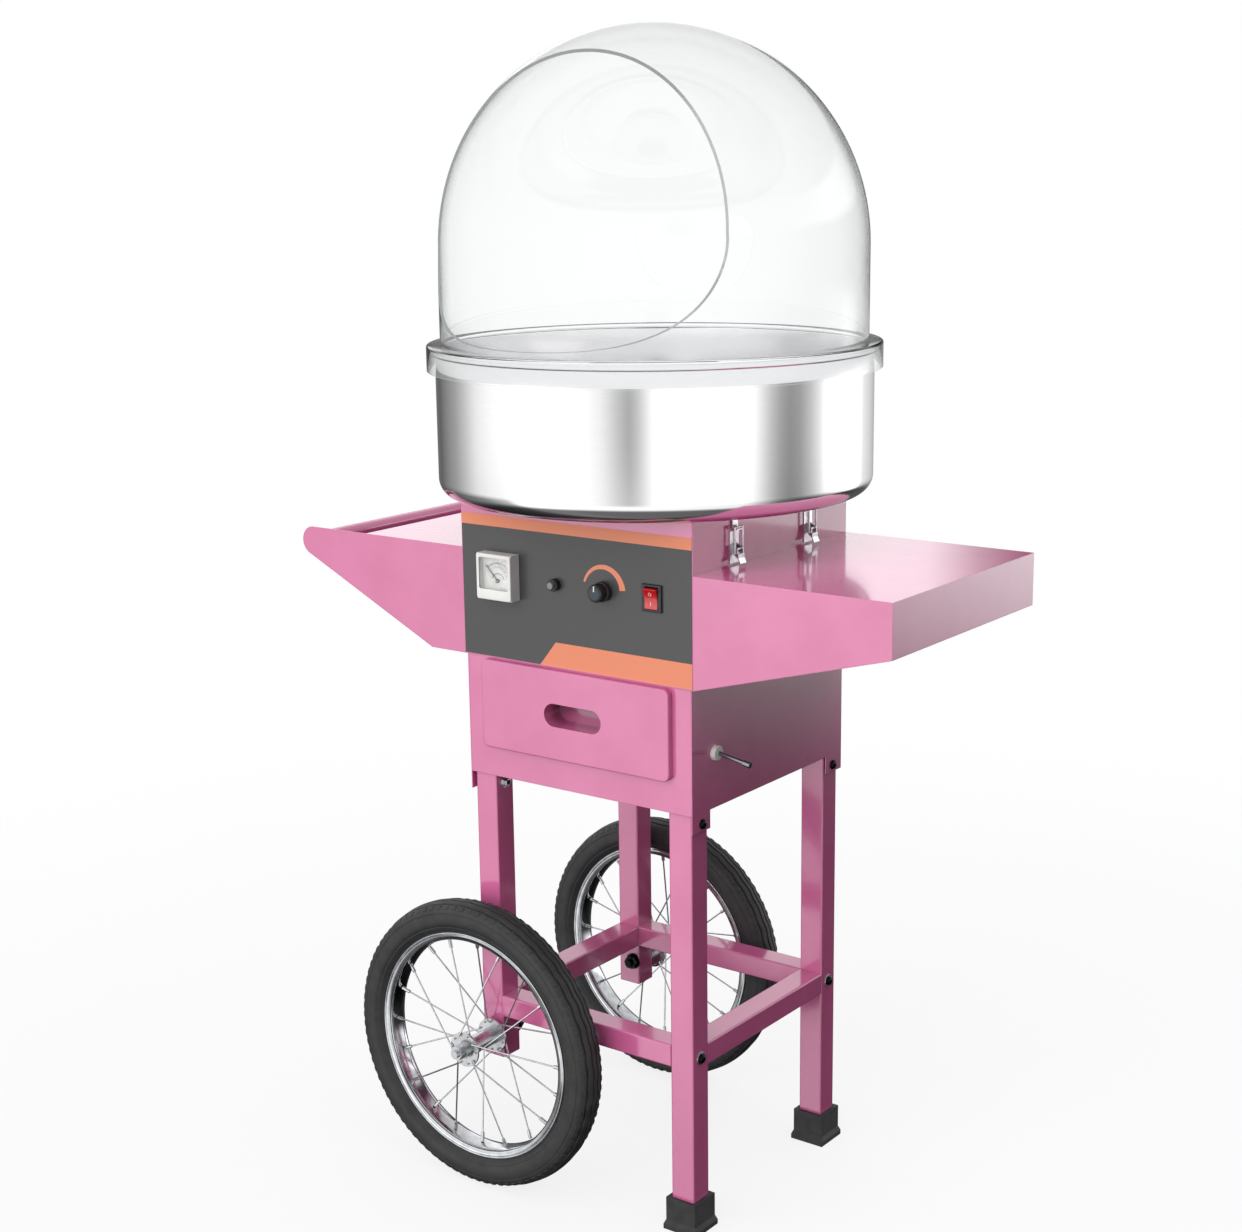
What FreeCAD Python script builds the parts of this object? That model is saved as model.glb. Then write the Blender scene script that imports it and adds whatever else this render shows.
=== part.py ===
import FreeCAD
import Part
import math
import os

Vector = FreeCAD.Vector

# Electric candy-floss cart: a steel floss bowl with a clear dome on a sheet-metal machine box, which
# stands on a four-legged cart with two spoked wheels.  +Z is up, the controls face -Y, and the wheels
# and the push handle are on the -X side.  All sizes are in millimetres.

# ---------------------------------------------------------------------------- cabinet
SHEET = 1.2
LOWER_WIDTH = 330.0
LOWER_DEPTH = 327.0
LOWER_BOTTOM = 524.0
SEAM = 672.5
UPPER_WIDTH = 336.0
UPPER_DEPTH = 329.0
UPPER_TOP = 865.0
TAB_DROP = 22.0
TAB_BOLT_UP = 9.0

# ---------------------------------------------------------------------------- legs and bars
LEG = 32.0
LEG_WALL = 1.5
LEG_CORNER = 2.0
LEG_INSET = 4.0
LEG_TOP_DROP = 32.5
BAR_HEIGHT = 28.0
BAR_CENTRE = 221.5
BAR_PLUG = 12.0
FOOT_HEIGHT = 41.0
FOOT_TOP = 42.0
FOOT_BASE = 47.0
FOOT_SOLE = 6.0

# ---------------------------------------------------------------------------- clearances and overrun
LOOSE = 0.2
SNUG = 0.05
PAST = 5.0

# ---------------------------------------------------------------------------- M6 fasteners
BOLT_R = 3.0
BOLT_HOLE_R = 3.2
BOLT_HEAD_R = 6.0
BOLT_HEAD = 4.0
NUT_R = 5.6
NUT = 5.0
THREAD_SHOWING = 1.0
WASHER_R = 8.0
WASHER = 1.2

# ---------------------------------------------------------------------------- wheels
WHEEL_R = 184.5
WHEEL_TRACK_HALF = 196.6
AXLE_BACK = 7.0
SHORT_LEG_BELOW_AXLE = 32.0
TYRE_WIDTH = 44.0
TYRE_WALL = 4.0
TYRE_SHOULDER = 8.0
TYRE_SHOULDER_IN = 3.0
TYRE_BEAD_RISE = 1.0
RIM_R = 146.0
RIM_DEPTH = 11.0
RIM_WIDTH = 30.0
RIM_WALL = 1.5
HUB_HALF = 33.0
HUB_BARREL_R = 11.0
HUB_FLANGE_R = 22.0
HUB_FLANGE_AT = 26.0
HUB_FLANGE = 2.5
HUB_END_R = 9.0
SPOKE_COUNT = 20
SPOKE_R = 1.0
SPOKE_HOLE_AT = 18.5
SPOKE_OFFSET = 1.7
SPOKE_LEAN = 36.0
SPOKE_RIM_OFFSET = 1.5
SPOKE_SHORT = 1.0
NIPPLE_R = 2.2
NIPPLE = 12.0
AXLE_R = 5.0
AXLE_NUT_R = 9.0
AXLE_NUT = 8.0
AXLE_END = 4.0
AXLE_WASHER_R = 11.0
SIDE_PLAY = 0.3

# ---------------------------------------------------------------------------- trays and push handle
TRAY_BELOW_LATCH = 2.0
RIGHT_REACH = 420.0
RIGHT_END_HEIGHT = 61.9
LEFT_REACH = 437.0
LEFT_TIP_R = 18.0
LEFT_KNEE = 221.5
LEFT_LIP_AT = 327.0
LEFT_LIP_DROP = 15.0
TRAY_FLANGE = 26.0
HANDLE_R = 10.0
HANDLE_WALL = 1.5
TRAY_SCREW_Y = (-110.0, 0.0, 110.0)

# ---------------------------------------------------------------------------- drawer
DRAWER_WIDTH = 276.0
DRAWER_UP = 38.0
DRAWER_TOP_DROP = 1.5
DRAWER_PROUD = 8.0
DRAWER_EDGE = 1.5
DRAWER_CORNER = 8.0
DRAWER_GAP = 0.3
DRAWER_BOX_WIDTH = 244.0
DRAWER_BOX_DEPTH = 284.0
DRAWER_BOX_HEIGHT = 87.0
DRAWER_BOX_SHEET = 1.0
DRAWER_BOX_LIFT = 6.0
SLOT_LENGTH = 84.0
SLOT_HEIGHT = 28.0
SLOT_DEPTH = 30.0
RUNNER_LEAF = 16.0
FRAME_OPENING_GAP = 3.0

# ---------------------------------------------------------------------------- bowl and dome
BOWL_R = 260.0
BOWL_WALL = 1.2
BOWL_CORNER = 25.0
BOWL_HEIGHT = 175.0
BOWL_BEAD_R = 4.0
BOWL_HOLE_R = 44.0
BOWL_COLLAR = 18.0
DOME_INSET = 6.5
DOME_WALL = 3.0
DOME_STRAIGHT = 114.0
DOME_LIP = 27.0
DOME_SEAT = 0.3
MOUTH_SILL_UP = 7.0
MOUTH_BEND = 130.0
MOUTH_SET_BACK = 106.5
MOUTH_LEAN = 5.4

# ---------------------------------------------------------------------------- toggle latches
LATCH_AT = (("front", -83.0), ("rear", 75.0))
LATCH_DROP = 42.5
LATCH_STAND_OFF = 7.0
LATCH_THROW = 5.0
LATCH_BAIL = 30.0
LATCH_HANDLE = 16.0
LATCH_PLATE = 1.0
LATCH_PLATE_WIDTH = 18.0
LATCH_PLATE_ABOVE = 20.0
LATCH_PLATE_BELOW = 17.0
LATCH_EAR_IN = 3.4
LATCH_EAR = 1.2
LATCH_EAR_GAP = 0.4
LATCH_PIN_R = 1.5
LATCH_WIRE_R = 1.25
LATCH_WIRE_AT = 8.0
STRIKE_SHEET = 1.5
STRIKE_WIDTH = 11.0
STRIKE_REACH = 20.0
LATCH_BOSS_R = 2.5
LATCH_EAR_RISE = 7.0
LATCH_LEVER_WALL = 1.0
LATCH_LIP = 2.8
LATCH_LIP_RISE = 6.0
LATCH_PIN_SHOWING = 0.2

# ---------------------------------------------------------------------------- controls
OVERLAY = 0.5
OVERLAY_UP = 1.5
OVERLAY_DROP = 19.0
OVERLAY_MARGIN = 1.0
CONTROL_DROP = 92.0
METER_X = -106.0
METER_DROP = 90.0
METER_WIDTH = 52.0
METER_HEIGHT = 55.0
METER_DEPTH = 17.0
METER_WALL = 2.0
METER_BARREL_R = 22.5
METER_BARREL = 30.0
METER_PIVOT_UP = 22.0
METER_POST_R = 0.8
METER_EDGE = 1.2
NEEDLE_LENGTH = 25.0
NEEDLE_REST = 45.0
NEEDLE_WIDTH = 1.2
NEEDLE_SHEET = 0.8
NEEDLE_BOSS_R = 2.5
NEEDLE_BOSS = 2.0
BREAKER_X = -25.0
BREAKER_COLLAR_R = 7.25
BREAKER_COLLAR = 8.0
BUTTON_R = 4.1
BUTTON_PROUD = 4.0
BUTTON_TRAVEL = 2.5
BUTTON_EDGE = 0.8
BREAKER_NECK_R = 6.25
BREAKER_EDGE = 1.2
BREAKER_BODY_WIDTH = 18.0
BREAKER_BODY_HEIGHT = 28.0
BREAKER_BODY_DEPTH = 28.0
BREAKER_BORE_DEPTH = 12.0
KNOB_X = 45.0
KNOB_R = 11.8
KNOB_LENGTH = 15.5
KNOB_STAND_OFF = 3.3
KNOB_SKIRT = 4.0
KNOB_TAPER = 1.0
KNOB_EDGE = 1.5
POINTER_WIDTH = 1.6
POINTER_PROUD = 0.7
STEM_R = 3.0
STEM_END = 4.0
BUSH_R = 5.0
BUSH_NUT_R = 8.0
BUSH_NUT = 2.0
CONTROL_CAN_R = 14.0
CONTROL_CAN = 14.0
CONTROL_BORE_DEPTH = 12.0
SWITCH_X = 113.5
SWITCH_WIDTH = 27.0
SWITCH_HEIGHT = 31.5
SWITCH_PROUD = 3.0
ROCKER_WIDTH = 18.0
ROCKER_HEIGHT = 24.0
ROCKER_TILT = 10.0
ROCKER_PIVOT = 1.0
ROCKER_PIN_R = 1.2
ROCKER_PIN = 2.0
ROCKER_TIP = 5.0
ROCKER_WAIST = 3.0
ROCKER_KEEL = 4.0
ROCKER_KEEL_HALF = 6.0
SWITCH_LIP = 1.0
SWITCH_WELL = 8.0
SWITCH_BODY_DEPTH = 24.0

# ---------------------------------------------------------------------------- drive and spinner head
SHAFT_R = 6.0
MOTOR_R = 46.0
MOTOR_HANG = 29.0
MOTOR_HEIGHT = 88.0
MOTOR_WALL = 2.5
MOTOR_BELL = 7.5
STACK_MARGIN = 22.0
ROTOR_R = 33.0
STATOR_GAP = 0.8
MOUNT_PLATE = 3.0
MOUNT_X = 62.0
MOUNT_Y = 48.0
MOUNT_POST_R = 6.0
MOUNT_MARGIN = 12.0
SHAFT_BELOW = 6.0
SHAFT_ABOVE = 6.0
SLEEVE_R = 12.0
RING_R = 15.0
RING = 5.0
RING_PITCH = 10.0
SLEEVE_LIFT = 4.0
SLEEVE_GAP = 8.0
HOLDER_BACK = 4.0
HOLDER = 15.0
HOLDER_HALF = 8.0
BRUSH = 14.0
BRUSH_R = 2.5
BRUSH_GAP = 0.3
HEAD_R = 86.0
HEAD_LIFT = 38.0
HEAD_BASE = 6.0
HEAD_HUB_R = 13.0
HEAD_HUB = 6.0
HEAD_NUT_R = 10.0
HEAD_NUT = 7.0
HEAD_BAND = 41.0
HEAD_BAND_WALL = 1.0
HEAD_SLOTS = 48
HEAD_SLOT_WIDTH = 2.0
HEAD_SLOT_MARGIN = 5.0
HEAD_CAP_SEAT = 4.0
HEAD_CAP_RISE = 18.0
HEAD_NECK_R = 30.0
HEAD_NECK = 8.0
HEATER_R = 78.0
HEATER_WALL = 1.5
HEATER_HEIGHT = 26.0

# ---------------------------------------------------------------------------- electrical entries
GLAND_X = 110.0
GLAND_UP = 27.5
GLAND_R = 11.0
GLAND_BORE_R = 4.0
GLAND_NECK_R = 6.8
GLAND_NOSE_R = 8.0
GLAND_FLANGE = 5.0
GLAND_NOSE = 9.0
GLAND_NUT = 5.0
GLAND_NECK = 8.0
STUD_Y = -118.0
STUD_UP = 66.0
STUD_BOSS_R = 9.0
STUD_R = 2.5
STUD_LENGTH = 42.0
STUD_DROOP = 10.0
STUD_BOSS = 6.0
STUD_BOSS_EDGE = 1.5
STUD_INSIDE = 8.0
STUD_NUT_R = 5.0
STUD_NUT = 4.0
STUD_CAP_R = 3.5
STUD_CAP = 8.0
STUD_CAP_END = 1.5

# ---------------------------------------------------------------------------- values worked out
ORIGIN_SHIFT = (LEFT_REACH - RIGHT_REACH) / 2

LEG_X = LOWER_WIDTH / 2 - LEG_INSET - LEG / 2
LEG_Y = LOWER_DEPTH / 2 - LEG_INSET - LEG / 2
LEG_INNER_X = LEG_X - LEG / 2
LEG_INNER_Y = LEG_Y - LEG / 2
TAB_BOLT_Z = LOWER_BOTTOM - TAB_DROP + TAB_BOLT_UP
AXLE_X = -LEG_X + AXLE_BACK
SHORT_LEG_END = WHEEL_R - SHORT_LEG_BELOW_AXLE
LEG_TOP = SEAM - LEG_TOP_DROP
DRAWER_BOTTOM = LOWER_BOTTOM + DRAWER_UP
DRAWER_TOP = SEAM - DRAWER_TOP_DROP
STUD_Z = LOWER_BOTTOM + STUD_UP

FRONT = -UPPER_DEPTH / 2
OVERLAY_FACE = FRONT - OVERLAY
OVERLAY_BOTTOM = SEAM + OVERLAY_UP
OVERLAY_TOP = UPPER_TOP - OVERLAY_DROP
CONTROL_Z = UPPER_TOP - CONTROL_DROP
METER_Z = UPPER_TOP - METER_DROP
LATCH_PIVOT_Z = UPPER_TOP - LATCH_DROP
GLAND_Z = SEAM + GLAND_UP
SIDE = UPPER_WIDTH / 2
TRAY_TOP = LATCH_PIVOT_Z - LATCH_PLATE_BELOW - TRAY_BELOW_LATCH
BOWL_RIM = UPPER_TOP + BOWL_HEIGHT
BEAD_OUTER_R = BOWL_R + BOWL_BEAD_R * 2 - BOWL_WALL
FLANGE_BOTTOM = BOWL_RIM + DOME_SEAT
LIP_INNER_R = BEAD_OUTER_R + DOME_SEAT
DOME_R = BOWL_R - DOME_INSET
DOME_SHOULDER = BOWL_RIM + DOME_STRAIGHT
MOUTH_SILL = BOWL_RIM + MOUTH_SILL_UP
MOUTH_FACE = DOME_R - MOUTH_SET_BACK
MOTOR_TOP = UPPER_TOP - MOTOR_HANG
MOTOR_BOTTOM = MOTOR_TOP - MOTOR_HEIGHT
HEAD_BOTTOM = UPPER_TOP + HEAD_LIFT
RUNNER_TOP = DRAWER_BOTTOM + DRAWER_BOX_LIFT - DRAWER_GAP
HEAD_FLOOR = HEAD_BOTTOM + HEAD_BASE
SLEEVE_LOW = UPPER_TOP + SLEEVE_LIFT
SLEEVE_HIGH = HEAD_BOTTOM - SLEEVE_GAP
RING_Z = ((SLEEVE_LOW + SLEEVE_HIGH - RING_PITCH) / 2, (SLEEVE_LOW + SLEEVE_HIGH + RING_PITCH) / 2)


# ---------------------------------------------------------------------------- shape helpers
def block(x, y, z):
    """A box between two planes along each axis; each pair may come in either order."""
    low = Vector(min(x), min(y), min(z))
    return Part.makeBox(abs(x[1] - x[0]), abs(y[1] - y[0]), abs(z[1] - z[0]), low)


def rod(radius, start, end):
    """A round bar from one point to another."""
    run = Vector(*end) - Vector(*start)
    return Part.makeCylinder(radius, run.Length, Vector(*start), run)


def ring(outer, inner, start, end):
    """A round bar with a bore."""
    return rod(outer, start, end).cut(rod(inner, start, end))


def hexagon(across_corners_r, bore, start, end):
    """A hexagon nut with its bore, along the line from start to end."""
    run = Vector(*end) - Vector(*start)
    turn = FreeCAD.Rotation(Vector(0, 0, 1), run)
    corners = []
    for k in range(7):
        angle = math.radians(60 * k)
        local = Vector(across_corners_r * math.cos(angle), across_corners_r * math.sin(angle), 0)
        corners.append(Vector(*start) + turn.multVec(local))
    nut = Part.Face(Part.makePolygon(corners)).extrude(run)
    return nut.cut(rod(bore, start, end))


def outline(points, place):
    """A face from (a, b) points and ((a, b), (a, b)) arcs given as middle and end; place maps to space."""
    edges = []
    here = points[0]
    for step in points[1:] + [points[0]]:
        if isinstance(step[0], tuple):
            middle, end = step
            edges.append(Part.Arc(place(*here), place(*middle), place(*end)).toShape())
        else:
            end = step
            if math.hypot(end[0] - here[0], end[1] - here[1]) > 1e-6:
                edges.append(Part.LineSegment(place(*here), place(*end)).toShape())
        here = end
    return Part.Face(Part.Wire(edges))


def prism_x(points, x_low, x_high):
    """A (y, z) outline extruded along X."""
    return outline(points, lambda y, z: Vector(x_low, y, z)).extrude(Vector(x_high - x_low, 0, 0))


def prism_y(points, y_low, y_high):
    """An (x, z) outline extruded along Y."""
    return outline(points, lambda x, z: Vector(x, y_low, z)).extrude(Vector(0, y_high - y_low, 0))


def turned(points, centre_x=0.0, centre_y=0.0):
    """An (r, z) outline turned about a vertical axis."""
    face = outline(points, lambda r, z: Vector(centre_x + r, centre_y, z))
    return face.revolve(Vector(centre_x, centre_y, 0), Vector(0, 0, 1), 360)


def turned_y(points, x, z):
    """An (r, y) outline turned about an axis along Y."""
    face = outline(points, lambda r, y: Vector(x, y, z + r))
    return face.revolve(Vector(x, 0, z), Vector(0, 1, 0), 360)


def square_tube(axis, centre, ends, width, height, wall, corner):
    """A rectangular tube along X, Y or Z; centre, width and height are across it in X, Y, Z order."""
    across = {"x": ((0, 1, 0), (0, 0, 1)), "y": ((1, 0, 0), (0, 0, 1)), "z": ((1, 0, 0), (0, 1, 0))}[axis]
    along = {"x": Vector(1, 0, 0), "y": Vector(0, 1, 0), "z": Vector(0, 0, 1)}[axis]
    first, second = Vector(*across[0]), Vector(*across[1])

    def body(w, h, r):
        base = first * (centre[0] - w / 2) + second * (centre[1] - h / 2) + along * ends[0]
        corners = [base, base + first * w, base + first * w + second * h, base + second * h, base]
        solid = Part.Face(Part.makePolygon(corners)).extrude(along * (ends[1] - ends[0]))
        long_edges = [e for e in solid.Edges if abs(e.Length - abs(ends[1] - ends[0])) < 1e-6
                      and abs(abs(e.tangentAt(e.FirstParameter).dot(along)) - 1) < 1e-6]
        return solid.makeFillet(r, long_edges)

    return body(width, height, corner).cut(body(width - 2 * wall, height - 2 * wall, corner / 2))


def fused(shapes):
    """One solid from touching or overlapping shapes."""
    return shapes[0].multiFuse(shapes[1:]).removeSplitter()


def write(name, shapes):
    """Write one sub-part, moved so that the origin is under the middle of the whole cart."""
    solids = shapes if isinstance(shapes, list) else [shapes]
    whole = Part.makeCompound(solids) if len(solids) > 1 else solids[0]
    whole = whole.copy()
    whole.translate(Vector(ORIGIN_SHIFT, 0, 0))
    whole.exportStep("parts/" + name + ".step")


# ---------------------------------------------------------------------------- lower cabinet
def lower_side_panels():
    """Left and right walls; their corners hang down as tabs that the legs are bolted to."""
    half = LOWER_DEPTH / 2
    tab = LEG + LEG_INSET
    low = LOWER_BOTTOM - TAB_DROP
    shape = [(-half, SEAM), (half, SEAM), (half, low), (half - tab, low), (half - tab, LOWER_BOTTOM),
             (tab - half, LOWER_BOTTOM), (tab - half, low), (-half, low)]
    panels = []
    for side in (-1, 1):
        outer = side * LOWER_WIDTH / 2
        panel = prism_x(shape, outer - side * SHEET, outer)
        for y in (-LEG_Y, LEG_Y):
            ends = ((outer - PAST, y, TAB_BOLT_Z), (outer + PAST, y, TAB_BOLT_Z))
            panel = panel.cut(rod(BOLT_HOLE_R, *ends))
        if side > 0:
            ends = ((outer - PAST, STUD_Y, STUD_Z), (outer + PAST, STUD_Y, STUD_Z))
            panel = panel.cut(rod(STUD_R + SNUG, *ends))
        panels.append(panel)
    return panels


def lower_back_panel():
    half = LOWER_WIDTH / 2 - SHEET
    return block((-half, half), (LOWER_DEPTH / 2 - SHEET, LOWER_DEPTH / 2), (LOWER_BOTTOM, SEAM))


def lower_floor():
    """Floor sheet with a square hole for each leg."""
    half_x = LOWER_WIDTH / 2 - SHEET
    half_y = LOWER_DEPTH / 2 - SHEET
    hole = LEG / 2 + LOOSE
    floor = block((-half_x, half_x), (-half_y, half_y), (LOWER_BOTTOM, LOWER_BOTTOM + SHEET))
    for x in (-LEG_X, LEG_X):
        for y in (-LEG_Y, LEG_Y):
            floor = floor.cut(block((x - hole, x + hole), (y - hole, y + hole),
                                    (LOWER_BOTTOM - PAST, LOWER_BOTTOM + PAST)))
    return floor


def lower_front_frame():
    """Front sheet round the drawer opening."""
    half = LOWER_WIDTH / 2 - SHEET
    opening = DRAWER_BOX_WIDTH / 2 + FRAME_OPENING_GAP
    front = -LOWER_DEPTH / 2
    low = DRAWER_BOTTOM + FRAME_OPENING_GAP
    high = DRAWER_TOP - FRAME_OPENING_GAP
    frame = block((-half, half), (front, front + SHEET), (LOWER_BOTTOM, SEAM))
    return frame.cut(block((-opening, opening), (front - PAST, front + PAST), (low, high)))


def drawer_runners():
    """Angle rails on the legs' inner faces that the drawer box slides on."""
    half = LEG_Y + LEG / 2
    rails = []
    for side in (-1, 1):
        outer = side * LEG_INNER_X
        shelf = block((outer, outer - side * RUNNER_LEAF), (-half, half), (RUNNER_TOP - SHEET, RUNNER_TOP))
        leaf = block((outer, outer - side * SHEET), (-half, half),
                     (RUNNER_TOP - SHEET, RUNNER_TOP + RUNNER_LEAF))
        rails.append(fused([shelf, leaf]))
    return rails


# ---------------------------------------------------------------------------- upper machine box
def upper_side_panels():
    half = UPPER_DEPTH / 2
    panels = []
    for side in (-1, 1):
        panel = block((side * SIDE, side * (SIDE - SHEET)), (-half, half), (SEAM, UPPER_TOP - SHEET))
        for y in TRAY_SCREW_Y:
            z = TRAY_TOP - SHEET - TRAY_FLANGE / 2
            panel = panel.cut(rod(BOLT_HOLE_R, (side * (SIDE - PAST), y, z), (side * (SIDE + PAST), y, z)))
        panels.append(panel)
    return panels


def upper_back_panel():
    """Back sheet with two columns of cooling slots and the cable hole."""
    half = SIDE - SHEET
    back = UPPER_DEPTH / 2
    panel = block((-half, half), (back - SHEET, back), (SEAM, UPPER_TOP - SHEET))
    slot_length, slot_height, slot_pitch, slot_rows = 70.0, 4.0, 12.0, 8
    first = (SEAM + UPPER_TOP) / 2 - slot_pitch * (slot_rows - 1) / 2
    slots = []
    for x in (-slot_length / 2 - slot_pitch, slot_length / 2 + slot_pitch):
        for row in range(slot_rows):
            z = first + row * slot_pitch
            slots.append(block((x - slot_length / 2, x + slot_length / 2), (back - PAST, back + PAST),
                               (z - slot_height / 2, z + slot_height / 2)))
    slots.append(rod(GLAND_NECK_R + LOOSE, (GLAND_X, back - PAST, GLAND_Z), (GLAND_X, back + PAST, GLAND_Z)))
    return panel.cut(Part.makeCompound(slots))


def control_holes(y_low, y_high):
    """The four holes that the controls pass through, in the control panel and its overlay."""
    half_w = SWITCH_WIDTH / 2 - SWITCH_LIP
    half_h = SWITCH_HEIGHT / 2 - SWITCH_LIP
    return Part.makeCompound([
        rod(METER_BARREL_R + LOOSE, (METER_X, y_low, METER_Z), (METER_X, y_high, METER_Z)),
        rod(BREAKER_NECK_R + LOOSE, (BREAKER_X, y_low, CONTROL_Z), (BREAKER_X, y_high, CONTROL_Z)),
        rod(BUSH_R + LOOSE, (KNOB_X, y_low, CONTROL_Z), (KNOB_X, y_high, CONTROL_Z)),
        block((SWITCH_X - half_w - LOOSE, SWITCH_X + half_w + LOOSE), (y_low, y_high),
              (CONTROL_Z - half_h - LOOSE, CONTROL_Z + half_h + LOOSE))])


def control_panel():
    half = SIDE - SHEET
    sheet = block((-half, half), (FRONT, FRONT + SHEET), (SEAM, UPPER_TOP - SHEET))
    return sheet.cut(control_holes(FRONT - PAST, FRONT + PAST))


def panel_overlay():
    """Printed plastic plate on the control panel."""
    half = SIDE - OVERLAY_MARGIN
    plate = block((-half, half), (OVERLAY_FACE, FRONT), (OVERLAY_BOTTOM, OVERLAY_TOP))
    return plate.cut(control_holes(FRONT - PAST, FRONT + PAST))


def top_plate():
    """Lid of the machine box, with the hole for the drive shaft."""
    half_y = UPPER_DEPTH / 2
    plate = block((-SIDE, SIDE), (-half_y, half_y), (UPPER_TOP - SHEET, UPPER_TOP))
    return plate.cut(rod(SLEEVE_R, (0, 0, UPPER_TOP - PAST), (0, 0, UPPER_TOP + PAST)))


def upper_floor():
    """Sheet between the machine box and the drawer."""
    half_x = SIDE - SHEET
    half_y = UPPER_DEPTH / 2 - SHEET
    return block((-half_x, half_x), (-half_y, half_y), (SEAM, SEAM + SHEET))


# ---------------------------------------------------------------------------- side trays
def tray_shell(side, wing, end_x, end_low):
    """Folded shelf: a flat top, two wing plates, a turned-down end and the flange screwed to the box."""
    half_y = UPPER_DEPTH / 2
    root = side * SIDE
    top_low = TRAY_TOP - SHEET
    inside = (SHEET - half_y, half_y - SHEET)
    flange = block((root, root + side * SHEET), inside, (top_low - TRAY_FLANGE, TRAY_TOP))
    for y in TRAY_SCREW_Y:
        z = top_low - TRAY_FLANGE / 2
        flange = flange.cut(rod(BOLT_HOLE_R, (root - PAST, y, z), (root + PAST, y, z)))
    return [prism_y(wing, -half_y, SHEET - half_y),
            prism_y(wing, half_y - SHEET, half_y),
            block((root, end_x), inside, (top_low, TRAY_TOP)),
            block((end_x, end_x - side * SHEET), inside, (end_low, TRAY_TOP)),
            flange]


def right_tray():
    end_low = TRAY_TOP - RIGHT_END_HEIGHT
    wing = [(SIDE, SEAM), (SIDE, TRAY_TOP), (RIGHT_REACH, TRAY_TOP), (RIGHT_REACH, end_low)]
    return fused(tray_shell(1, wing, RIGHT_REACH, end_low))


def left_tray():
    """The wings run past the shelf's lip and finish in round tips that carry the push handle."""
    tip_x = -LEFT_REACH + LEFT_TIP_R
    tip_z = TRAY_TOP - LEFT_TIP_R
    to_x = -LEFT_KNEE - tip_x
    to_z = SEAM - tip_z
    reach = math.hypot(to_x, to_z)
    tangent = math.atan2(to_z, to_x) - math.acos(LEFT_TIP_R / reach)
    lower = (tip_x + LEFT_TIP_R * math.cos(tangent), tip_z + LEFT_TIP_R * math.sin(tangent))
    middle = (tangent - 2 * math.pi + math.pi / 2) / 2 if tangent > 0 else (tangent - 1.5 * math.pi) / 2
    crown = (tip_x + LEFT_TIP_R * math.cos(middle), tip_z + LEFT_TIP_R * math.sin(middle))
    wing = [(-SIDE, SEAM), (-SIDE, TRAY_TOP), (tip_x, TRAY_TOP), (crown, lower), (-LEFT_KNEE, SEAM)]
    return fused(tray_shell(-1, wing, -LEFT_LIP_AT, TRAY_TOP - LEFT_LIP_DROP))


def push_handle():
    """Tube between the left tray's wings, in the middle of their round tips."""
    half_y = UPPER_DEPTH / 2 - SHEET
    x = LEFT_TIP_R - LEFT_REACH
    z = TRAY_TOP - LEFT_TIP_R
    return ring(HANDLE_R, HANDLE_R - HANDLE_WALL, (x, -half_y, z), (x, half_y, z))


# ---------------------------------------------------------------------------- legs, bars and feet
def legs():
    """Two long legs on rubber feet and two short legs that carry the axles."""
    posts = []
    for side, low in ((-1, SHORT_LEG_END), (1, FOOT_SOLE)):
        for y in (-LEG_Y, LEG_Y):
            post = square_tube("z", (side * LEG_X, y), (low, LEG_TOP), LEG, LEG, LEG_WALL, LEG_CORNER)
            reach = LEG_X + LEG
            for z in (TAB_BOLT_Z, BAR_CENTRE):
                post = post.cut(rod(BOLT_HOLE_R, (side * (LEG_X - LEG), y, z), (side * reach, y, z)))
            if side < 0:
                post = post.cut(rod(AXLE_R + SNUG, (AXLE_X, y - LEG, WHEEL_R), (AXLE_X, y + LEG, WHEEL_R)))
            posts.append(post)
    return posts


def cross_bars():
    """Front, rear, left and right bars between the legs."""
    bars = []
    for y in (-LEG_Y, LEG_Y):
        ends = (-LEG_INNER_X, LEG_INNER_X)
        bars.append(square_tube("x", (y, BAR_CENTRE), ends, LEG, BAR_HEIGHT, LEG_WALL, LEG_CORNER))
    for x in (-LEG_X, LEG_X):
        ends = (-LEG_INNER_Y, LEG_INNER_Y)
        bars.append(square_tube("y", (x, BAR_CENTRE), ends, LEG, BAR_HEIGHT, LEG_WALL, LEG_CORNER))
    return bars


def rubber_feet():
    """Square rubber caps with a flared sole."""
    def square(size, y, z):
        h = size / 2
        round_trip = ((-1, -1), (1, -1), (1, 1), (-1, 1), (-1, -1))
        return Part.makePolygon([Vector(LEG_X + a * h, y + b * h, z) for a, b in round_trip])

    feet = []
    pocket = LEG / 2 + LOOSE
    for y in (-LEG_Y, LEG_Y):
        levels = ((FOOT_BASE, 0), (FOOT_BASE, FOOT_SOLE), (FOOT_TOP, 2 * FOOT_SOLE), (FOOT_TOP, FOOT_HEIGHT))
        foot = Part.makeLoft([square(size, y, z) for size, z in levels], True, True)
        hollow = block((LEG_X - pocket, LEG_X + pocket), (y - pocket, y + pocket),
                       (FOOT_SOLE, FOOT_HEIGHT + PAST))
        feet.append(foot.cut(hollow))
    return feet


def bolt(head_face, direction, y, z, length):
    """Round-headed bolt along X, with its head outside the face and its shank running inwards."""
    head = rod(BOLT_HEAD_R, (head_face, y, z), (head_face + direction * BOLT_HEAD, y, z))
    rim = [e for e in head.Edges if abs(e.CenterOfMass.x - head_face - direction * BOLT_HEAD) < 1e-6]
    head = head.makeFillet(BOLT_HEAD / 2, rim)
    shank = rod(BOLT_R, (head_face, y, z), (head_face - direction * length, y, z))
    return fused([head, shank])


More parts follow.
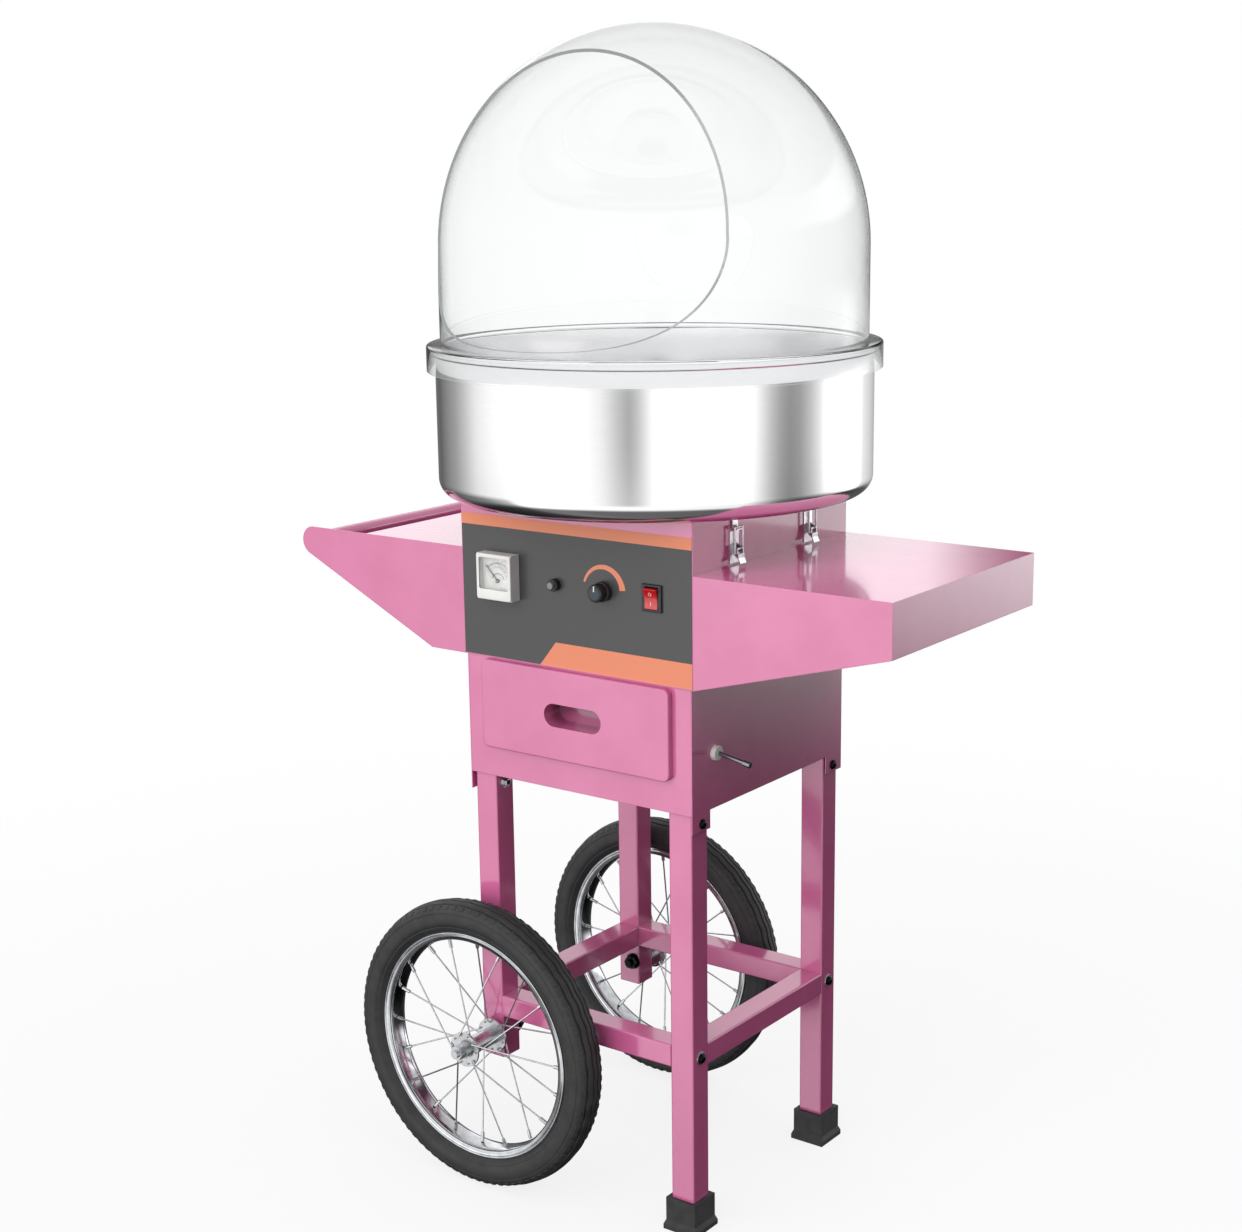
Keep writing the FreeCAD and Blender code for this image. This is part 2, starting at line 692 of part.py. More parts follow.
def bolts_and_nuts():
    """Leg bolts through the tabs, bar bolts into the bars' end plugs, and the tray screws."""
    items = []
    bore = BOLT_R + SNUG
    for side in (-1, 1):
        wall = side * LOWER_WIDTH / 2
        leg_face = side * (LEG_X + LEG / 2)
        inner = side * LEG_INNER_X
        for y in (-LEG_Y, LEG_Y):
            length = abs(wall - inner) + WASHER + NUT + THREAD_SHOWING
            items.append(bolt(wall, side, y, TAB_BOLT_Z, length))
            items.append(ring(WASHER_R, bore, (wall - side * SHEET, y, TAB_BOLT_Z),
                              (leg_face, y, TAB_BOLT_Z)))
            items.append(ring(WASHER_R, bore, (inner, y, TAB_BOLT_Z), (inner - side * WASHER, y, TAB_BOLT_Z)))
            items.append(hexagon(NUT_R, bore, (inner - side * WASHER, y, TAB_BOLT_Z),
                                 (inner - side * (WASHER + NUT), y, TAB_BOLT_Z)))
            items.append(ring(WASHER_R, bore, (leg_face, y, BAR_CENTRE),
                              (leg_face + side * WASHER, y, BAR_CENTRE)))
            items.append(bolt(leg_face + side * WASHER, side, y, BAR_CENTRE, LEG + WASHER + BAR_PLUG))
            half_w = LEG / 2 - LEG_WALL - LOOSE
            half_h = BAR_HEIGHT / 2 - LEG_WALL - LOOSE
            plug = block((inner, inner - side * BAR_PLUG), (y - half_w, y + half_w),
                         (BAR_CENTRE - half_h, BAR_CENTRE + half_h))
            plug = plug.makeFillet(LEG_CORNER / 2, [e for e in plug.Edges if abs(e.Length - BAR_PLUG) < 1e-6])
            plug_end = inner - side * (BAR_PLUG + PAST)
            items.append(plug.cut(rod(bore, (inner + side, y, BAR_CENTRE), (plug_end, y, BAR_CENTRE))))
        z = TRAY_TOP - SHEET - TRAY_FLANGE / 2
        for y in TRAY_SCREW_Y:
            face = side * (SIDE + SHEET)
            nut_face = side * (SIDE - SHEET)
            items.append(bolt(face, side, y, z, 2 * SHEET + NUT + THREAD_SHOWING))
            items.append(hexagon(NUT_R, bore, (nut_face, y, z), (nut_face - side * NUT, y, z)))
    return items


# ---------------------------------------------------------------------------- wheels
def tyre(centre_y):
    """Pneumatic tyre: an open C section whose beads sit between the rim's flanges."""
    bead_r = RIM_R - RIM_DEPTH + RIM_WALL
    bead_y = RIM_WIDTH / 2 - RIM_WALL - LOOSE
    neck_r = RIM_R + TYRE_BEAD_RISE
    half = TYRE_WIDTH / 2
    shoulder_r = WHEEL_R - TYRE_SHOULDER
    belly_r = (RIM_R + shoulder_r) / 2
    shoulder_y = half - TYRE_SHOULDER_IN
    t = TYRE_WALL
    inner_r = shoulder_r - t / 2
    outer = [(bead_r, bead_y), (neck_r, bead_y), ((belly_r, half), (shoulder_r, shoulder_y)),
             ((WHEEL_R, 0.0), (shoulder_r, -shoulder_y)), ((belly_r, -half), (neck_r, -bead_y)),
             (bead_r, -bead_y)]
    inner = [(bead_r, t - bead_y), (neck_r, t - bead_y), ((belly_r, t - half), (inner_r, t - shoulder_y)),
             ((WHEEL_R - t, 0.0), (inner_r, shoulder_y - t)), ((belly_r, half - t), (neck_r, bead_y - t)),
             (bead_r, bead_y - t)]
    section = []
    for step in outer + inner:
        if isinstance(step[0], tuple):
            section.append(tuple((r, centre_y + y) for r, y in step))
        else:
            section.append((step[0], centre_y + step[1]))
    return turned_y(section, AXLE_X, WHEEL_R)


def rim(centre_y):
    """Rolled channel rim."""
    half = RIM_WIDTH / 2
    well = RIM_R - RIM_DEPTH
    section = [(well, -half), (RIM_R, -half), (RIM_R, RIM_WALL - half), (well + RIM_WALL, RIM_WALL - half),
               (well + RIM_WALL, half - RIM_WALL), (RIM_R, half - RIM_WALL), (RIM_R, half), (well, half)]
    return turned_y([(r, centre_y + y) for r, y in section], AXLE_X, WHEEL_R)


def spoke_spin(flange, index):
    """Angle of a spoke's hub hole, and the way it leans round to the rim."""
    per_flange = SPOKE_COUNT // 2
    angle = 360.0 / per_flange * index + (180.0 / per_flange if flange > 0 else 0.0)
    lean = SPOKE_LEAN if index % 2 == 0 else -SPOKE_LEAN
    return angle, lean


def hub(centre_y):
    """Turned hub with two flanges drilled for the spokes and a plain bore for the axle."""
    bore = AXLE_R + SNUG
    a, b, h = HUB_FLANGE_AT - HUB_FLANGE / 2, HUB_FLANGE_AT + HUB_FLANGE / 2, HUB_HALF
    right = [(bore, h), (HUB_END_R, h), (HUB_END_R, b), (HUB_FLANGE_R, b), (HUB_FLANGE_R, a),
             (HUB_BARREL_R, a)]
    section = right + [(r, -y) for r, y in reversed(right)]
    body = turned_y([(r, centre_y + y) for r, y in section], AXLE_X, WHEEL_R)
    holes = []
    for flange in (-1, 1):
        for index in range(SPOKE_COUNT // 2):
            angle = math.radians(spoke_spin(flange, index)[0])
            x = AXLE_X + SPOKE_HOLE_AT * math.cos(angle)
            z = WHEEL_R + SPOKE_HOLE_AT * math.sin(angle)
            y = centre_y + flange * HUB_FLANGE_AT
            holes.append(rod(SPOKE_R + LOOSE, (x, y - HUB_FLANGE, z), (x, y + HUB_FLANGE, z)))
    return body.cut(Part.makeCompound(holes))


def spokes(centre_y):
    """Bent-end wire spokes, each with its nipple at the rim, laced so that neighbours cross."""
    rim_r = RIM_R - RIM_DEPTH - LOOSE / 2
    step = HUB_FLANGE / 2 + SPOKE_R + SPOKE_OFFSET
    wires = []
    for flange in (-1, 1):
        for index in range(SPOKE_COUNT // 2):
            angle, lean = spoke_spin(flange, index)
            way = -1 if index % 2 == 0 else 1
            start = math.radians(angle)
            finish = math.radians(angle + lean)
            x = AXLE_X + SPOKE_HOLE_AT * math.cos(start)
            z = WHEEL_R + SPOKE_HOLE_AT * math.sin(start)
            foot = Vector(x, centre_y + flange * (HUB_FLANGE_AT + way * step), z)
            head = Vector(x, centre_y + flange * (HUB_FLANGE_AT - way * step), z)
            tip = Vector(AXLE_X + rim_r * math.cos(finish), centre_y + flange * SPOKE_RIM_OFFSET,
                         WHEEL_R + rim_r * math.sin(finish))
            run = (tip - foot).normalize()
            end = tip - run * SPOKE_SHORT
            wire = rod(SPOKE_R, tuple(foot), tuple(end))
            elbow = Part.makeSphere(SPOKE_R, foot)
            nipple = rod(NIPPLE_R, tuple(tip - run * NIPPLE), tuple(end))
            wires.append(wire.multiFuse([rod(SPOKE_R, tuple(head), tuple(foot)), elbow, nipple]))
    return wires


def wheel_axles():
    """Axle bolts through the short legs, with spacers, washers and nuts."""
    items = []
    bore = AXLE_R + SNUG
    for side in (-1, 1):
        leg_in, leg_out = LEG_INNER_Y, LEG_Y + LEG / 2
        hub_in = WHEEL_TRACK_HALF - HUB_HALF - SIDE_PLAY
        hub_out = WHEEL_TRACK_HALF + HUB_HALF + SIDE_PLAY

        def at(y):
            return (AXLE_X, side * y, WHEEL_R)

        inner_end = leg_in - WASHER - AXLE_NUT - AXLE_END
        outer_end = hub_out + WASHER + AXLE_NUT + AXLE_END
        items.append(rod(AXLE_R, at(inner_end), at(outer_end)))
        items.append(ring(HUB_END_R, bore, at(leg_out), at(hub_in)))
        items.append(ring(AXLE_WASHER_R, bore, at(leg_in - WASHER), at(leg_in)))
        items.append(hexagon(AXLE_NUT_R, bore, at(leg_in - WASHER - AXLE_NUT), at(leg_in - WASHER)))
        items.append(ring(AXLE_WASHER_R, bore, at(hub_out), at(hub_out + WASHER)))
        items.append(hexagon(AXLE_NUT_R, bore, at(hub_out + WASHER), at(hub_out + WASHER + AXLE_NUT)))
    return items


# ---------------------------------------------------------------------------- drawer
def drawer_front():
    """Folded pan with round corners and a recessed obround finger cup."""
    half = DRAWER_WIDTH / 2
    back = -LOWER_DEPTH / 2 - DRAWER_GAP
    face = -LOWER_DEPTH / 2 - DRAWER_PROUD
    pan = block((-half, half), (face, back), (DRAWER_BOTTOM, DRAWER_TOP))
    corners = [e for e in pan.Edges if abs(e.Length - (back - face)) < 1e-6]
    pan = pan.makeFillet(DRAWER_CORNER, corners)
    pan = pan.makeFillet(DRAWER_EDGE, [e for e in pan.Edges if abs(e.BoundBox.YMax - face) < 1e-6])
    low, high = DRAWER_BOTTOM + SHEET, DRAWER_TOP - SHEET
    hollow = block((SHEET - half, half - SHEET), (face + SHEET, back + PAST), (low, high))
    corners = [e for e in hollow.Edges if abs(e.Length - (back + PAST - face - SHEET)) < 1e-6]
    hollow = hollow.makeFillet(DRAWER_CORNER - SHEET, corners)
    z = (DRAWER_BOTTOM + DRAWER_TOP) / 2
    end = (SLOT_LENGTH - SLOT_HEIGHT) / 2

    def obround(radius, y_low, y_high):
        return fused([block((-end, end), (y_low, y_high), (z - radius, z + radius)),
                      rod(radius, (-end, y_low, z), (-end, y_high, z)),
                      rod(radius, (end, y_low, z), (end, y_high, z))])

    cup = obround(SLOT_HEIGHT / 2 + SHEET, face + SHEET, face + SLOT_DEPTH + SHEET)
    return fused([pan.cut(hollow), cup]).cut(obround(SLOT_HEIGHT / 2, face - PAST, face + SLOT_DEPTH))


def drawer_box():
    """Open box behind the drawer front."""
    half = DRAWER_BOX_WIDTH / 2
    t = DRAWER_BOX_SHEET
    front = -LOWER_DEPTH / 2 - DRAWER_PROUD + SHEET
    back = front + DRAWER_BOX_DEPTH
    low = DRAWER_BOTTOM + DRAWER_BOX_LIFT
    high = low + DRAWER_BOX_HEIGHT
    outer = block((-half, half), (front, back), (low, high))
    return outer.cut(block((t - half, half - t), (front - PAST, back - t), (low + t, high + PAST)))


# ---------------------------------------------------------------------------- bowl and dome
def bowl():
    """Spun stainless bowl with a rolled bead at its rim and a collar round the shaft hole."""
    t = BOWL_WALL
    r, c = BOWL_R, BOWL_CORNER
    low = UPPER_TOP
    bead_z = BOWL_RIM - BOWL_BEAD_R
    bead_r = BOWL_R - t + BOWL_BEAD_R
    diagonal = math.sqrt(0.5)
    outer_mid = (r - c + c * diagonal, low + c - c * diagonal)
    inner_mid = (r - c + (c - t) * diagonal, low + c - (c - t) * diagonal)
    shell = turned([(BOWL_HOLE_R, low), (r - c, low), (outer_mid, (r, low + c)), (r, bead_z), (r - t, bead_z),
                    (r - t, low + c), (inner_mid, (r - c, low + t)), (BOWL_HOLE_R + t, low + t),
                    (BOWL_HOLE_R + t, low + BOWL_COLLAR), (BOWL_HOLE_R, low + BOWL_COLLAR)])
    bead = Part.makeTorus(bead_r, BOWL_BEAD_R, Vector(0, 0, bead_z), Vector(0, 0, 1))
    core = Part.makeTorus(bead_r, BOWL_BEAD_R - t, Vector(0, 0, bead_z), Vector(0, 0, 1))
    return shell.fuse(bead).cut(core).removeSplitter()


def dome():
    """Clear shell: cylinder and hemisphere, with a flange and a lip that drop over the bowl's bead."""
    t = DOME_WALL
    r = DOME_R
    low = FLANGE_BOTTOM
    lip_low = BOWL_RIM - DOME_LIP
    lip_in = LIP_INNER_R
    lip_out = LIP_INNER_R + t
    diagonal = math.sqrt(0.5)
    shoulder = DOME_SHOULDER
    inner = r - t
    shell = turned([(inner, low), (lip_in, low), (lip_in, lip_low), (lip_out, lip_low), (lip_out, low),
                    ((lip_out - t + t * diagonal, low + t * diagonal), (lip_out - t, low + t)),
                    (r, low + t), (r, shoulder),
                    ((r * diagonal, shoulder + r * diagonal), (0.0, shoulder + r)), (0.0, shoulder + inner),
                    ((inner * diagonal, shoulder + inner * diagonal), (inner, shoulder))])
    return shell.cut(dome_mouth())


def dome_mouth():
    """Cutter for the serving mouth: a leaning flat cut that sweeps forwards at its foot."""
    reach = LIP_INNER_R + DOME_WALL + MOUTH_BEND
    top = DOME_SHOULDER + DOME_R + PAST
    centre_y = -MOUTH_FACE - MOUTH_BEND
    centre_z = MOUTH_SILL + MOUTH_BEND
    diagonal = math.sqrt(0.5)
    middle = (centre_y + MOUTH_BEND * diagonal, centre_z - MOUTH_BEND * diagonal)
    side = [(-reach, MOUTH_SILL), (centre_y, MOUTH_SILL), (middle, (-MOUTH_FACE, centre_z)),
            (-MOUTH_FACE + (top - centre_z) * math.tan(math.radians(MOUTH_LEAN)), top), (-reach, top)]
    return prism_x(side, -reach, reach)


# ---------------------------------------------------------------------------- toggle latches
def latch_frame(side, y):
    """Places a latch that was drawn on the +X wall at y = 0 onto its own wall and place."""
    def place(shape):
        moved = shape.copy()
        moved.translate(Vector(SIDE, y, LATCH_PIVOT_Z))
        return moved if side > 0 else moved.mirror(Vector(0, 0, 0), Vector(1, 0, 0))
    return place


def latch_pieces():
    """Base, pivot pin, lever, bail and strike, drawn with the wall at x = 0 and the pivot at z = 0."""
    u = LATCH_STAND_OFF
    half = LATCH_PLATE_WIDTH / 2
    ear_out = LATCH_EAR_IN + LATCH_EAR
    lever_in = ear_out + LATCH_EAR_GAP
    lever_out = lever_in + LATCH_EAR
    bore = LATCH_PIN_R + SNUG
    web = u + LATCH_PIN_R + LATCH_LEVER_WALL
    plate = block((0, LATCH_PLATE), (-half, half), (-LATCH_PLATE_BELOW, LATCH_PLATE_ABOVE))
    pin_bore = rod(LATCH_PIN_R + SNUG, (u, -half, 0), (u, half, 0))

    def ear(side, inner, outer, corners):
        face = outline(corners, lambda x, z: Vector(x, side * inner, z))
        return face.extrude(Vector(0, side * (outer - inner), 0))

    def ears(inner, outer, corners):
        return [ear(side, inner, outer, corners) for side in (-1, 1)]

    boss = LATCH_BOSS_R
    base_ear = [(0, -LATCH_EAR_RISE), (u, -boss), ((u + boss, 0), (u, boss)), (0, LATCH_EAR_RISE)]
    base = fused([plate] + ears(LATCH_EAR_IN, ear_out, base_ear)).cut(pin_bore)
    pin_half = lever_out + LATCH_PIN_SHOWING
    pin = rod(LATCH_PIN_R, (u, -pin_half, 0), (u, pin_half, 0))
    foot = -LATCH_HANDLE
    bend = foot + LATCH_LIP_RISE
    lip = web + LATCH_LIP
    lever_ear = [(u - boss, -LATCH_THROW - LATCH_PIN_R), (u - boss, LATCH_PIN_R), (u, boss),
                 (web, LATCH_PIN_R), (web, -2 * LATCH_THROW)]
    handle = prism_y([(web, -LATCH_THROW), (web + LATCH_EAR, -LATCH_THROW), (web + LATCH_EAR, bend),
                      (lip + LATCH_EAR, foot), (lip, foot), (web, bend)], -lever_out, lever_out)
    lever = fused([handle] + ears(lever_in, lever_out, lever_ear))
    lever = lever.cut(rod(bore, (u, -half, 0), (u, half, 0)))
    lever = lever.cut(rod(LATCH_WIRE_R + SNUG, (u, -half, -LATCH_THROW), (u, half, -LATCH_THROW)))
    low, high = -LATCH_THROW, LATCH_BAIL - LATCH_THROW
    wire = []
    for s in (-1, 1):
        wire.append(rod(LATCH_WIRE_R, (u, s * LATCH_WIRE_AT, low), (u, s * LATCH_WIRE_AT, high)))
        wire.append(rod(LATCH_WIRE_R, (u, s * LATCH_WIRE_AT, low), (u, s * lever_in, low)))
        wire.append(Part.makeSphere(LATCH_WIRE_R, Vector(u, s * LATCH_WIRE_AT, low)))
        wire.append(Part.makeSphere(LATCH_WIRE_R, Vector(u, s * LATCH_WIRE_AT, high)))
    wire.append(rod(LATCH_WIRE_R, (u, -LATCH_WIRE_AT, high), (u, LATCH_WIRE_AT, high)))
    bail = wire[0].multiFuse(wire[1:])
    tongue = high - LATCH_WIRE_R - SIDE_PLAY
    ceiling = UPPER_TOP - LATCH_PIVOT_Z
    near = LATCH_PLATE
    far = near + STRIKE_REACH
    nose = u + LATCH_WIRE_R
    under = ceiling - STRIKE_SHEET
    strike = prism_y([(near, ceiling), (near, tongue - STRIKE_SHEET), (nose, tongue - STRIKE_SHEET),
                      (nose, tongue), (near + STRIKE_SHEET, tongue), (near + STRIKE_SHEET, under),
                      (far, under), (far, ceiling)], -STRIKE_WIDTH / 2, STRIKE_WIDTH / 2)
    return base, pin, lever, bail, strike


def write_latches():
    """Four latches, two on each side; bases with their pins and strikes are shared groups."""
    base, pin, lever, bail, strike = latch_pieces()
    bases, strikes = [], []
    for side, side_name in ((-1, "left"), (1, "right")):
        for end_name, y in LATCH_AT:
            place = latch_frame(side, y)
            bases.extend([place(base), place(pin)])
            strikes.append(place(strike))
            write("latch_lever_" + end_name + "_" + side_name, place(lever))
            write("latch_bail_" + end_name + "_" + side_name, place(bail))
    write("latch_bases", bases)
    write("bowl_strikes", strikes)


# ---------------------------------------------------------------------------- controls
def meter_case():
    """Meter housing with its dial chamber, pivot post and rear barrel."""
    half = METER_WIDTH / 2
    low, high = METER_Z - METER_HEIGHT / 2, METER_Z + METER_HEIGHT / 2
    face = OVERLAY_FACE - METER_DEPTH
    t = METER_WALL
    case = block((METER_X - half, METER_X + half), (face + t, OVERLAY_FACE), (low, high))
    chamber = block((METER_X - half + t, METER_X + half - t), (face, OVERLAY_FACE - t), (low + t, high - t))
    barrel = rod(METER_BARREL_R, (METER_X, OVERLAY_FACE, METER_Z),
                 (METER_X, OVERLAY_FACE + METER_BARREL, METER_Z))
    pivot_z = low + METER_PIVOT_UP
    post = rod(METER_POST_R, (METER_X, face + 2 * t, pivot_z), (METER_X, OVERLAY_FACE - t, pivot_z))
    return fused([case.cut(chamber), barrel, post])


def meter_window():
    """Clear front cover of the meter."""
    half = METER_WIDTH / 2
    face = OVERLAY_FACE - METER_DEPTH
    cover = block((METER_X - half, METER_X + half), (face, face + METER_WALL),
                  (METER_Z - METER_HEIGHT / 2, METER_Z + METER_HEIGHT / 2))
    rim = [e for e in cover.Edges if abs(e.CenterOfMass.y - face) < 1e-6]
    return cover.makeFillet(METER_EDGE, rim)


def meter_needle():
    """Pointer on a small boss, leaning left at zero."""
    pivot_z = METER_Z - METER_HEIGHT / 2 + METER_PIVOT_UP
    mid_y = OVERLAY_FACE - METER_DEPTH / 2
    half_w, half_y, boss_y = NEEDLE_WIDTH / 2, NEEDLE_SHEET / 2, NEEDLE_BOSS / 2
    blade = block((METER_X - half_w, METER_X + half_w), (mid_y - half_y, mid_y + half_y),
                  (pivot_z + NEEDLE_BOSS_R - half_w, pivot_z + NEEDLE_LENGTH))
    boss = rod(NEEDLE_BOSS_R, (METER_X, mid_y - boss_y, pivot_z), (METER_X, mid_y + boss_y, pivot_z))
    bore = rod(METER_POST_R + SNUG, (METER_X, mid_y - PAST, pivot_z), (METER_X, mid_y + PAST, pivot_z))
    needle = fused([blade, boss]).cut(bore)
    needle.rotate(Vector(METER_X, mid_y, pivot_z), Vector(0, 1, 0), -NEEDLE_REST)
    return needle


def breaker_body():
    """Black threaded collar in front of the panel and the breaker's body behind it."""
    front = OVERLAY_FACE - BREAKER_COLLAR
    back = FRONT + SHEET
    half_w, half_h = BREAKER_BODY_WIDTH / 2, BREAKER_BODY_HEIGHT / 2
    collar = rod(BREAKER_COLLAR_R, (BREAKER_X, front, CONTROL_Z), (BREAKER_X, OVERLAY_FACE, CONTROL_Z))
    edge = [e for e in collar.Edges if abs(e.CenterOfMass.y - front) < 1e-6 and len(e.Vertexes) == 1]
    collar = collar.makeFillet(BREAKER_EDGE, edge)
    neck = rod(BREAKER_NECK_R, (BREAKER_X, OVERLAY_FACE, CONTROL_Z), (BREAKER_X, back, CONTROL_Z))
    body = block((BREAKER_X - half_w, BREAKER_X + half_w), (back, back + BREAKER_BODY_DEPTH),
                 (CONTROL_Z - half_h, CONTROL_Z + half_h))
    hole = rod(BUTTON_R + SNUG, (BREAKER_X, front - PAST, CONTROL_Z),
               (BREAKER_X, back + BREAKER_BORE_DEPTH, CONTROL_Z))
    return fused([collar, neck, body]).cut(hole)


def reset_button():
    """Push button; its inner end keeps its travel clear of the bore's bottom."""
    front = OVERLAY_FACE - BREAKER_COLLAR - BUTTON_PROUD
    inner_end = FRONT + SHEET + BREAKER_BORE_DEPTH - BUTTON_TRAVEL - BUTTON_EDGE
    button = rod(BUTTON_R, (BREAKER_X, front, CONTROL_Z), (BREAKER_X, inner_end, CONTROL_Z))
    edge = [e for e in button.Edges if abs(e.CenterOfMass.y - front) < 1e-6 and len(e.Vertexes) == 1]
    return button.makeFillet(BUTTON_EDGE, edge)


def heat_control():
    """Rotary heat control: body behind the panel, threaded bush through it and its nut."""
    back = FRONT + SHEET
    nut_face = OVERLAY_FACE - BUSH_NUT
    bush_end = nut_face - LOOSE
    bush = rod(BUSH_R, (KNOB_X, bush_end, CONTROL_Z), (KNOB_X, back, CONTROL_Z))
    can = rod(CONTROL_CAN_R, (KNOB_X, back, CONTROL_Z), (KNOB_X, back + CONTROL_CAN, CONTROL_Z))
    bore_end = (KNOB_X, back + CONTROL_BORE_DEPTH, CONTROL_Z)
    hole = rod(STEM_R + SNUG, (KNOB_X, bush_end - PAST, CONTROL_Z), bore_end)
    nut = hexagon(BUSH_NUT_R, BUSH_R + SNUG, (KNOB_X, nut_face, CONTROL_Z), (KNOB_X, OVERLAY_FACE, CONTROL_Z))
    return [fused([bush, can]).cut(hole), nut]


def temp_knob():
    """Moulded knob with a raised pointer, and the control's stem inside it."""
    base = OVERLAY_FACE - KNOB_STAND_OFF
    front = base - KNOB_LENGTH
    r = KNOB_R
    face_r = r - KNOB_TAPER
    arc_middle = (face_r - KNOB_EDGE * (1 - math.sqrt(0.5)), front + KNOB_EDGE * (1 - math.sqrt(0.5)))
    body = turned_y([(0.0, base), (r, base), (r, base - KNOB_SKIRT), (face_r, front + KNOB_EDGE),
                     (arc_middle, (face_r - KNOB_EDGE, front)), (0.0, front)], KNOB_X, CONTROL_Z)
    half = POINTER_WIDTH / 2
    pointer = block((KNOB_X - half, KNOB_X + half), (front - POINTER_PROUD, front + POINTER_PROUD),
                    (CONTROL_Z + half, CONTROL_Z + face_r - KNOB_EDGE))
    socket = rod(STEM_R + SNUG, (KNOB_X, base + PAST, CONTROL_Z), (KNOB_X, front + STEM_END, CONTROL_Z))
    stem_back = FRONT + SHEET + CONTROL_BORE_DEPTH - BUSH_NUT / 2
    stem = rod(STEM_R, (KNOB_X, stem_back, CONTROL_Z), (KNOB_X, front + STEM_END, CONTROL_Z))
    return [fused([body, pointer]).cut(socket), stem]


def switch_body():
    """Snap-in rocker switch housing with its bezel."""
    half_w, half_h = SWITCH_WIDTH / 2, SWITCH_HEIGHT / 2
    face = OVERLAY_FACE - SWITCH_PROUD
    bezel = block((SWITCH_X - half_w, SWITCH_X + half_w), (face, OVERLAY_FACE),
                  (CONTROL_Z - half_h, CONTROL_Z + half_h))
    rim = [e for e in bezel.Edges if abs(e.CenterOfMass.y - face) < 1e-6]
    bezel = bezel.makeFillet(SWITCH_LIP, rim)
    body_w, body_h = half_w - SWITCH_LIP, half_h - SWITCH_LIP
    body = block((SWITCH_X - body_w, SWITCH_X + body_w), (OVERLAY_FACE, OVERLAY_FACE + SWITCH_BODY_DEPTH),
                 (CONTROL_Z - body_h, CONTROL_Z + body_h))
    well_w = ROCKER_WIDTH / 2 + SIDE_PLAY
    well_h = ROCKER_HEIGHT / 2 + ROCKER_PIN_R
    well = block((SWITCH_X - well_w, SWITCH_X + well_w), (face - PAST, OVERLAY_FACE + SWITCH_WELL),
                 (CONTROL_Z - well_h, CONTROL_Z + well_h))
    pivot_y = OVERLAY_FACE - ROCKER_PIVOT
    reach = well_w + ROCKER_PIN
    pins = rod(ROCKER_PIN_R + SNUG, (SWITCH_X - reach, pivot_y, CONTROL_Z),
               (SWITCH_X + reach, pivot_y, CONTROL_Z))
    return fused([bezel, body]).cut(well).cut(pins)


def power_rocker():
    """Rocker shown switched off: its lower half is pushed in."""
    pivot_y = OVERLAY_FACE - ROCKER_PIVOT
    half_w, half_h, keel = ROCKER_WIDTH / 2, ROCKER_HEIGHT / 2, ROCKER_KEEL_HALF
    side = [(pivot_y - ROCKER_TIP, CONTROL_Z + half_h), (pivot_y - ROCKER_WAIST, CONTROL_Z),
            (pivot_y - ROCKER_TIP, CONTROL_Z - half_h), (pivot_y, CONTROL_Z - half_h),
            (pivot_y + ROCKER_KEEL, CONTROL_Z - keel), (pivot_y + ROCKER_KEEL, CONTROL_Z + keel),
            (pivot_y, CONTROL_Z + half_h)]
    body = prism_x(side, SWITCH_X - half_w, SWITCH_X + half_w)
    reach = half_w + ROCKER_PIN
    pins = rod(ROCKER_PIN_R, (SWITCH_X - reach, pivot_y, CONTROL_Z), (SWITCH_X + reach, pivot_y, CONTROL_Z))
    rocker = fused([body, pins])
    rocker.rotate(Vector(SWITCH_X, pivot_y, CONTROL_Z), Vector(1, 0, 0), ROCKER_TILT)
    return rocker


def cable_gland():
    """Cable entry in the back panel: a flanged bush and its lock nut."""
    back = UPPER_DEPTH / 2
    flange_end = back + GLAND_FLANGE
    nut_face = back - SHEET

    def at(y):
        return (GLAND_X, y, GLAND_Z)

    bush = fused([rod(GLAND_R, at(back), at(flange_end)),
                  rod(GLAND_NOSE_R, at(flange_end), at(flange_end + GLAND_NOSE)),
                  rod(GLAND_NECK_R, at(back), at(nut_face - GLAND_NECK))])
    bush = bush.cut(rod(GLAND_BORE_R, at(flange_end + GLAND_NOSE + PAST), at(nut_face - GLAND_NECK - PAST)))
    return [bush, hexagon(GLAND_R, GLAND_NECK_R + SNUG, at(nut_face - GLAND_NUT), at(nut_face))]


def earth_stud():
    """White insulating boss with a drooping terminal stud and its bright end cap."""
    wall = LOWER_WIDTH / 2
    face = wall + STUD_BOSS
    boss = rod(STUD_BOSS_R, (wall, STUD_Y, STUD_Z), (face, STUD_Y, STUD_Z))
    edge = [e for e in boss.Edges if abs(e.CenterOfMass.x - face) < 1e-6 and len(e.Vertexes) == 1]
    boss = boss.makeFillet(STUD_BOSS_EDGE, edge)
    boss = boss.cut(rod(STUD_R + SNUG, (wall - PAST, STUD_Y, STUD_Z), (face + PAST, STUD_Y, STUD_Z)))
    inner = rod(STUD_R, (wall - STUD_INSIDE, STUD_Y, STUD_Z), (face, STUD_Y, STUD_Z))
    droop = math.radians(STUD_DROOP)
    bend = Vector(face, STUD_Y, STUD_Z)
    way = Vector(math.cos(droop), 0, -math.sin(droop))
    tip = bend + way * STUD_LENGTH
    stud = inner.multiFuse([rod(STUD_R, tuple(bend), tuple(tip)), Part.makeSphere(STUD_R, bend)])
    nut_face = wall - SHEET
    nut = hexagon(STUD_NUT_R, STUD_R + SNUG, (nut_face - STUD_NUT, STUD_Y, STUD_Z),
                  (nut_face, STUD_Y, STUD_Z))
    cap = rod(STUD_CAP_R, tuple(tip - way * STUD_CAP), tuple(tip + way * STUD_CAP_END))
    cap = cap.cut(rod(STUD_R + SNUG, tuple(tip - way * (STUD_CAP + PAST)), tuple(tip)))
    return [boss, stud, nut, cap]


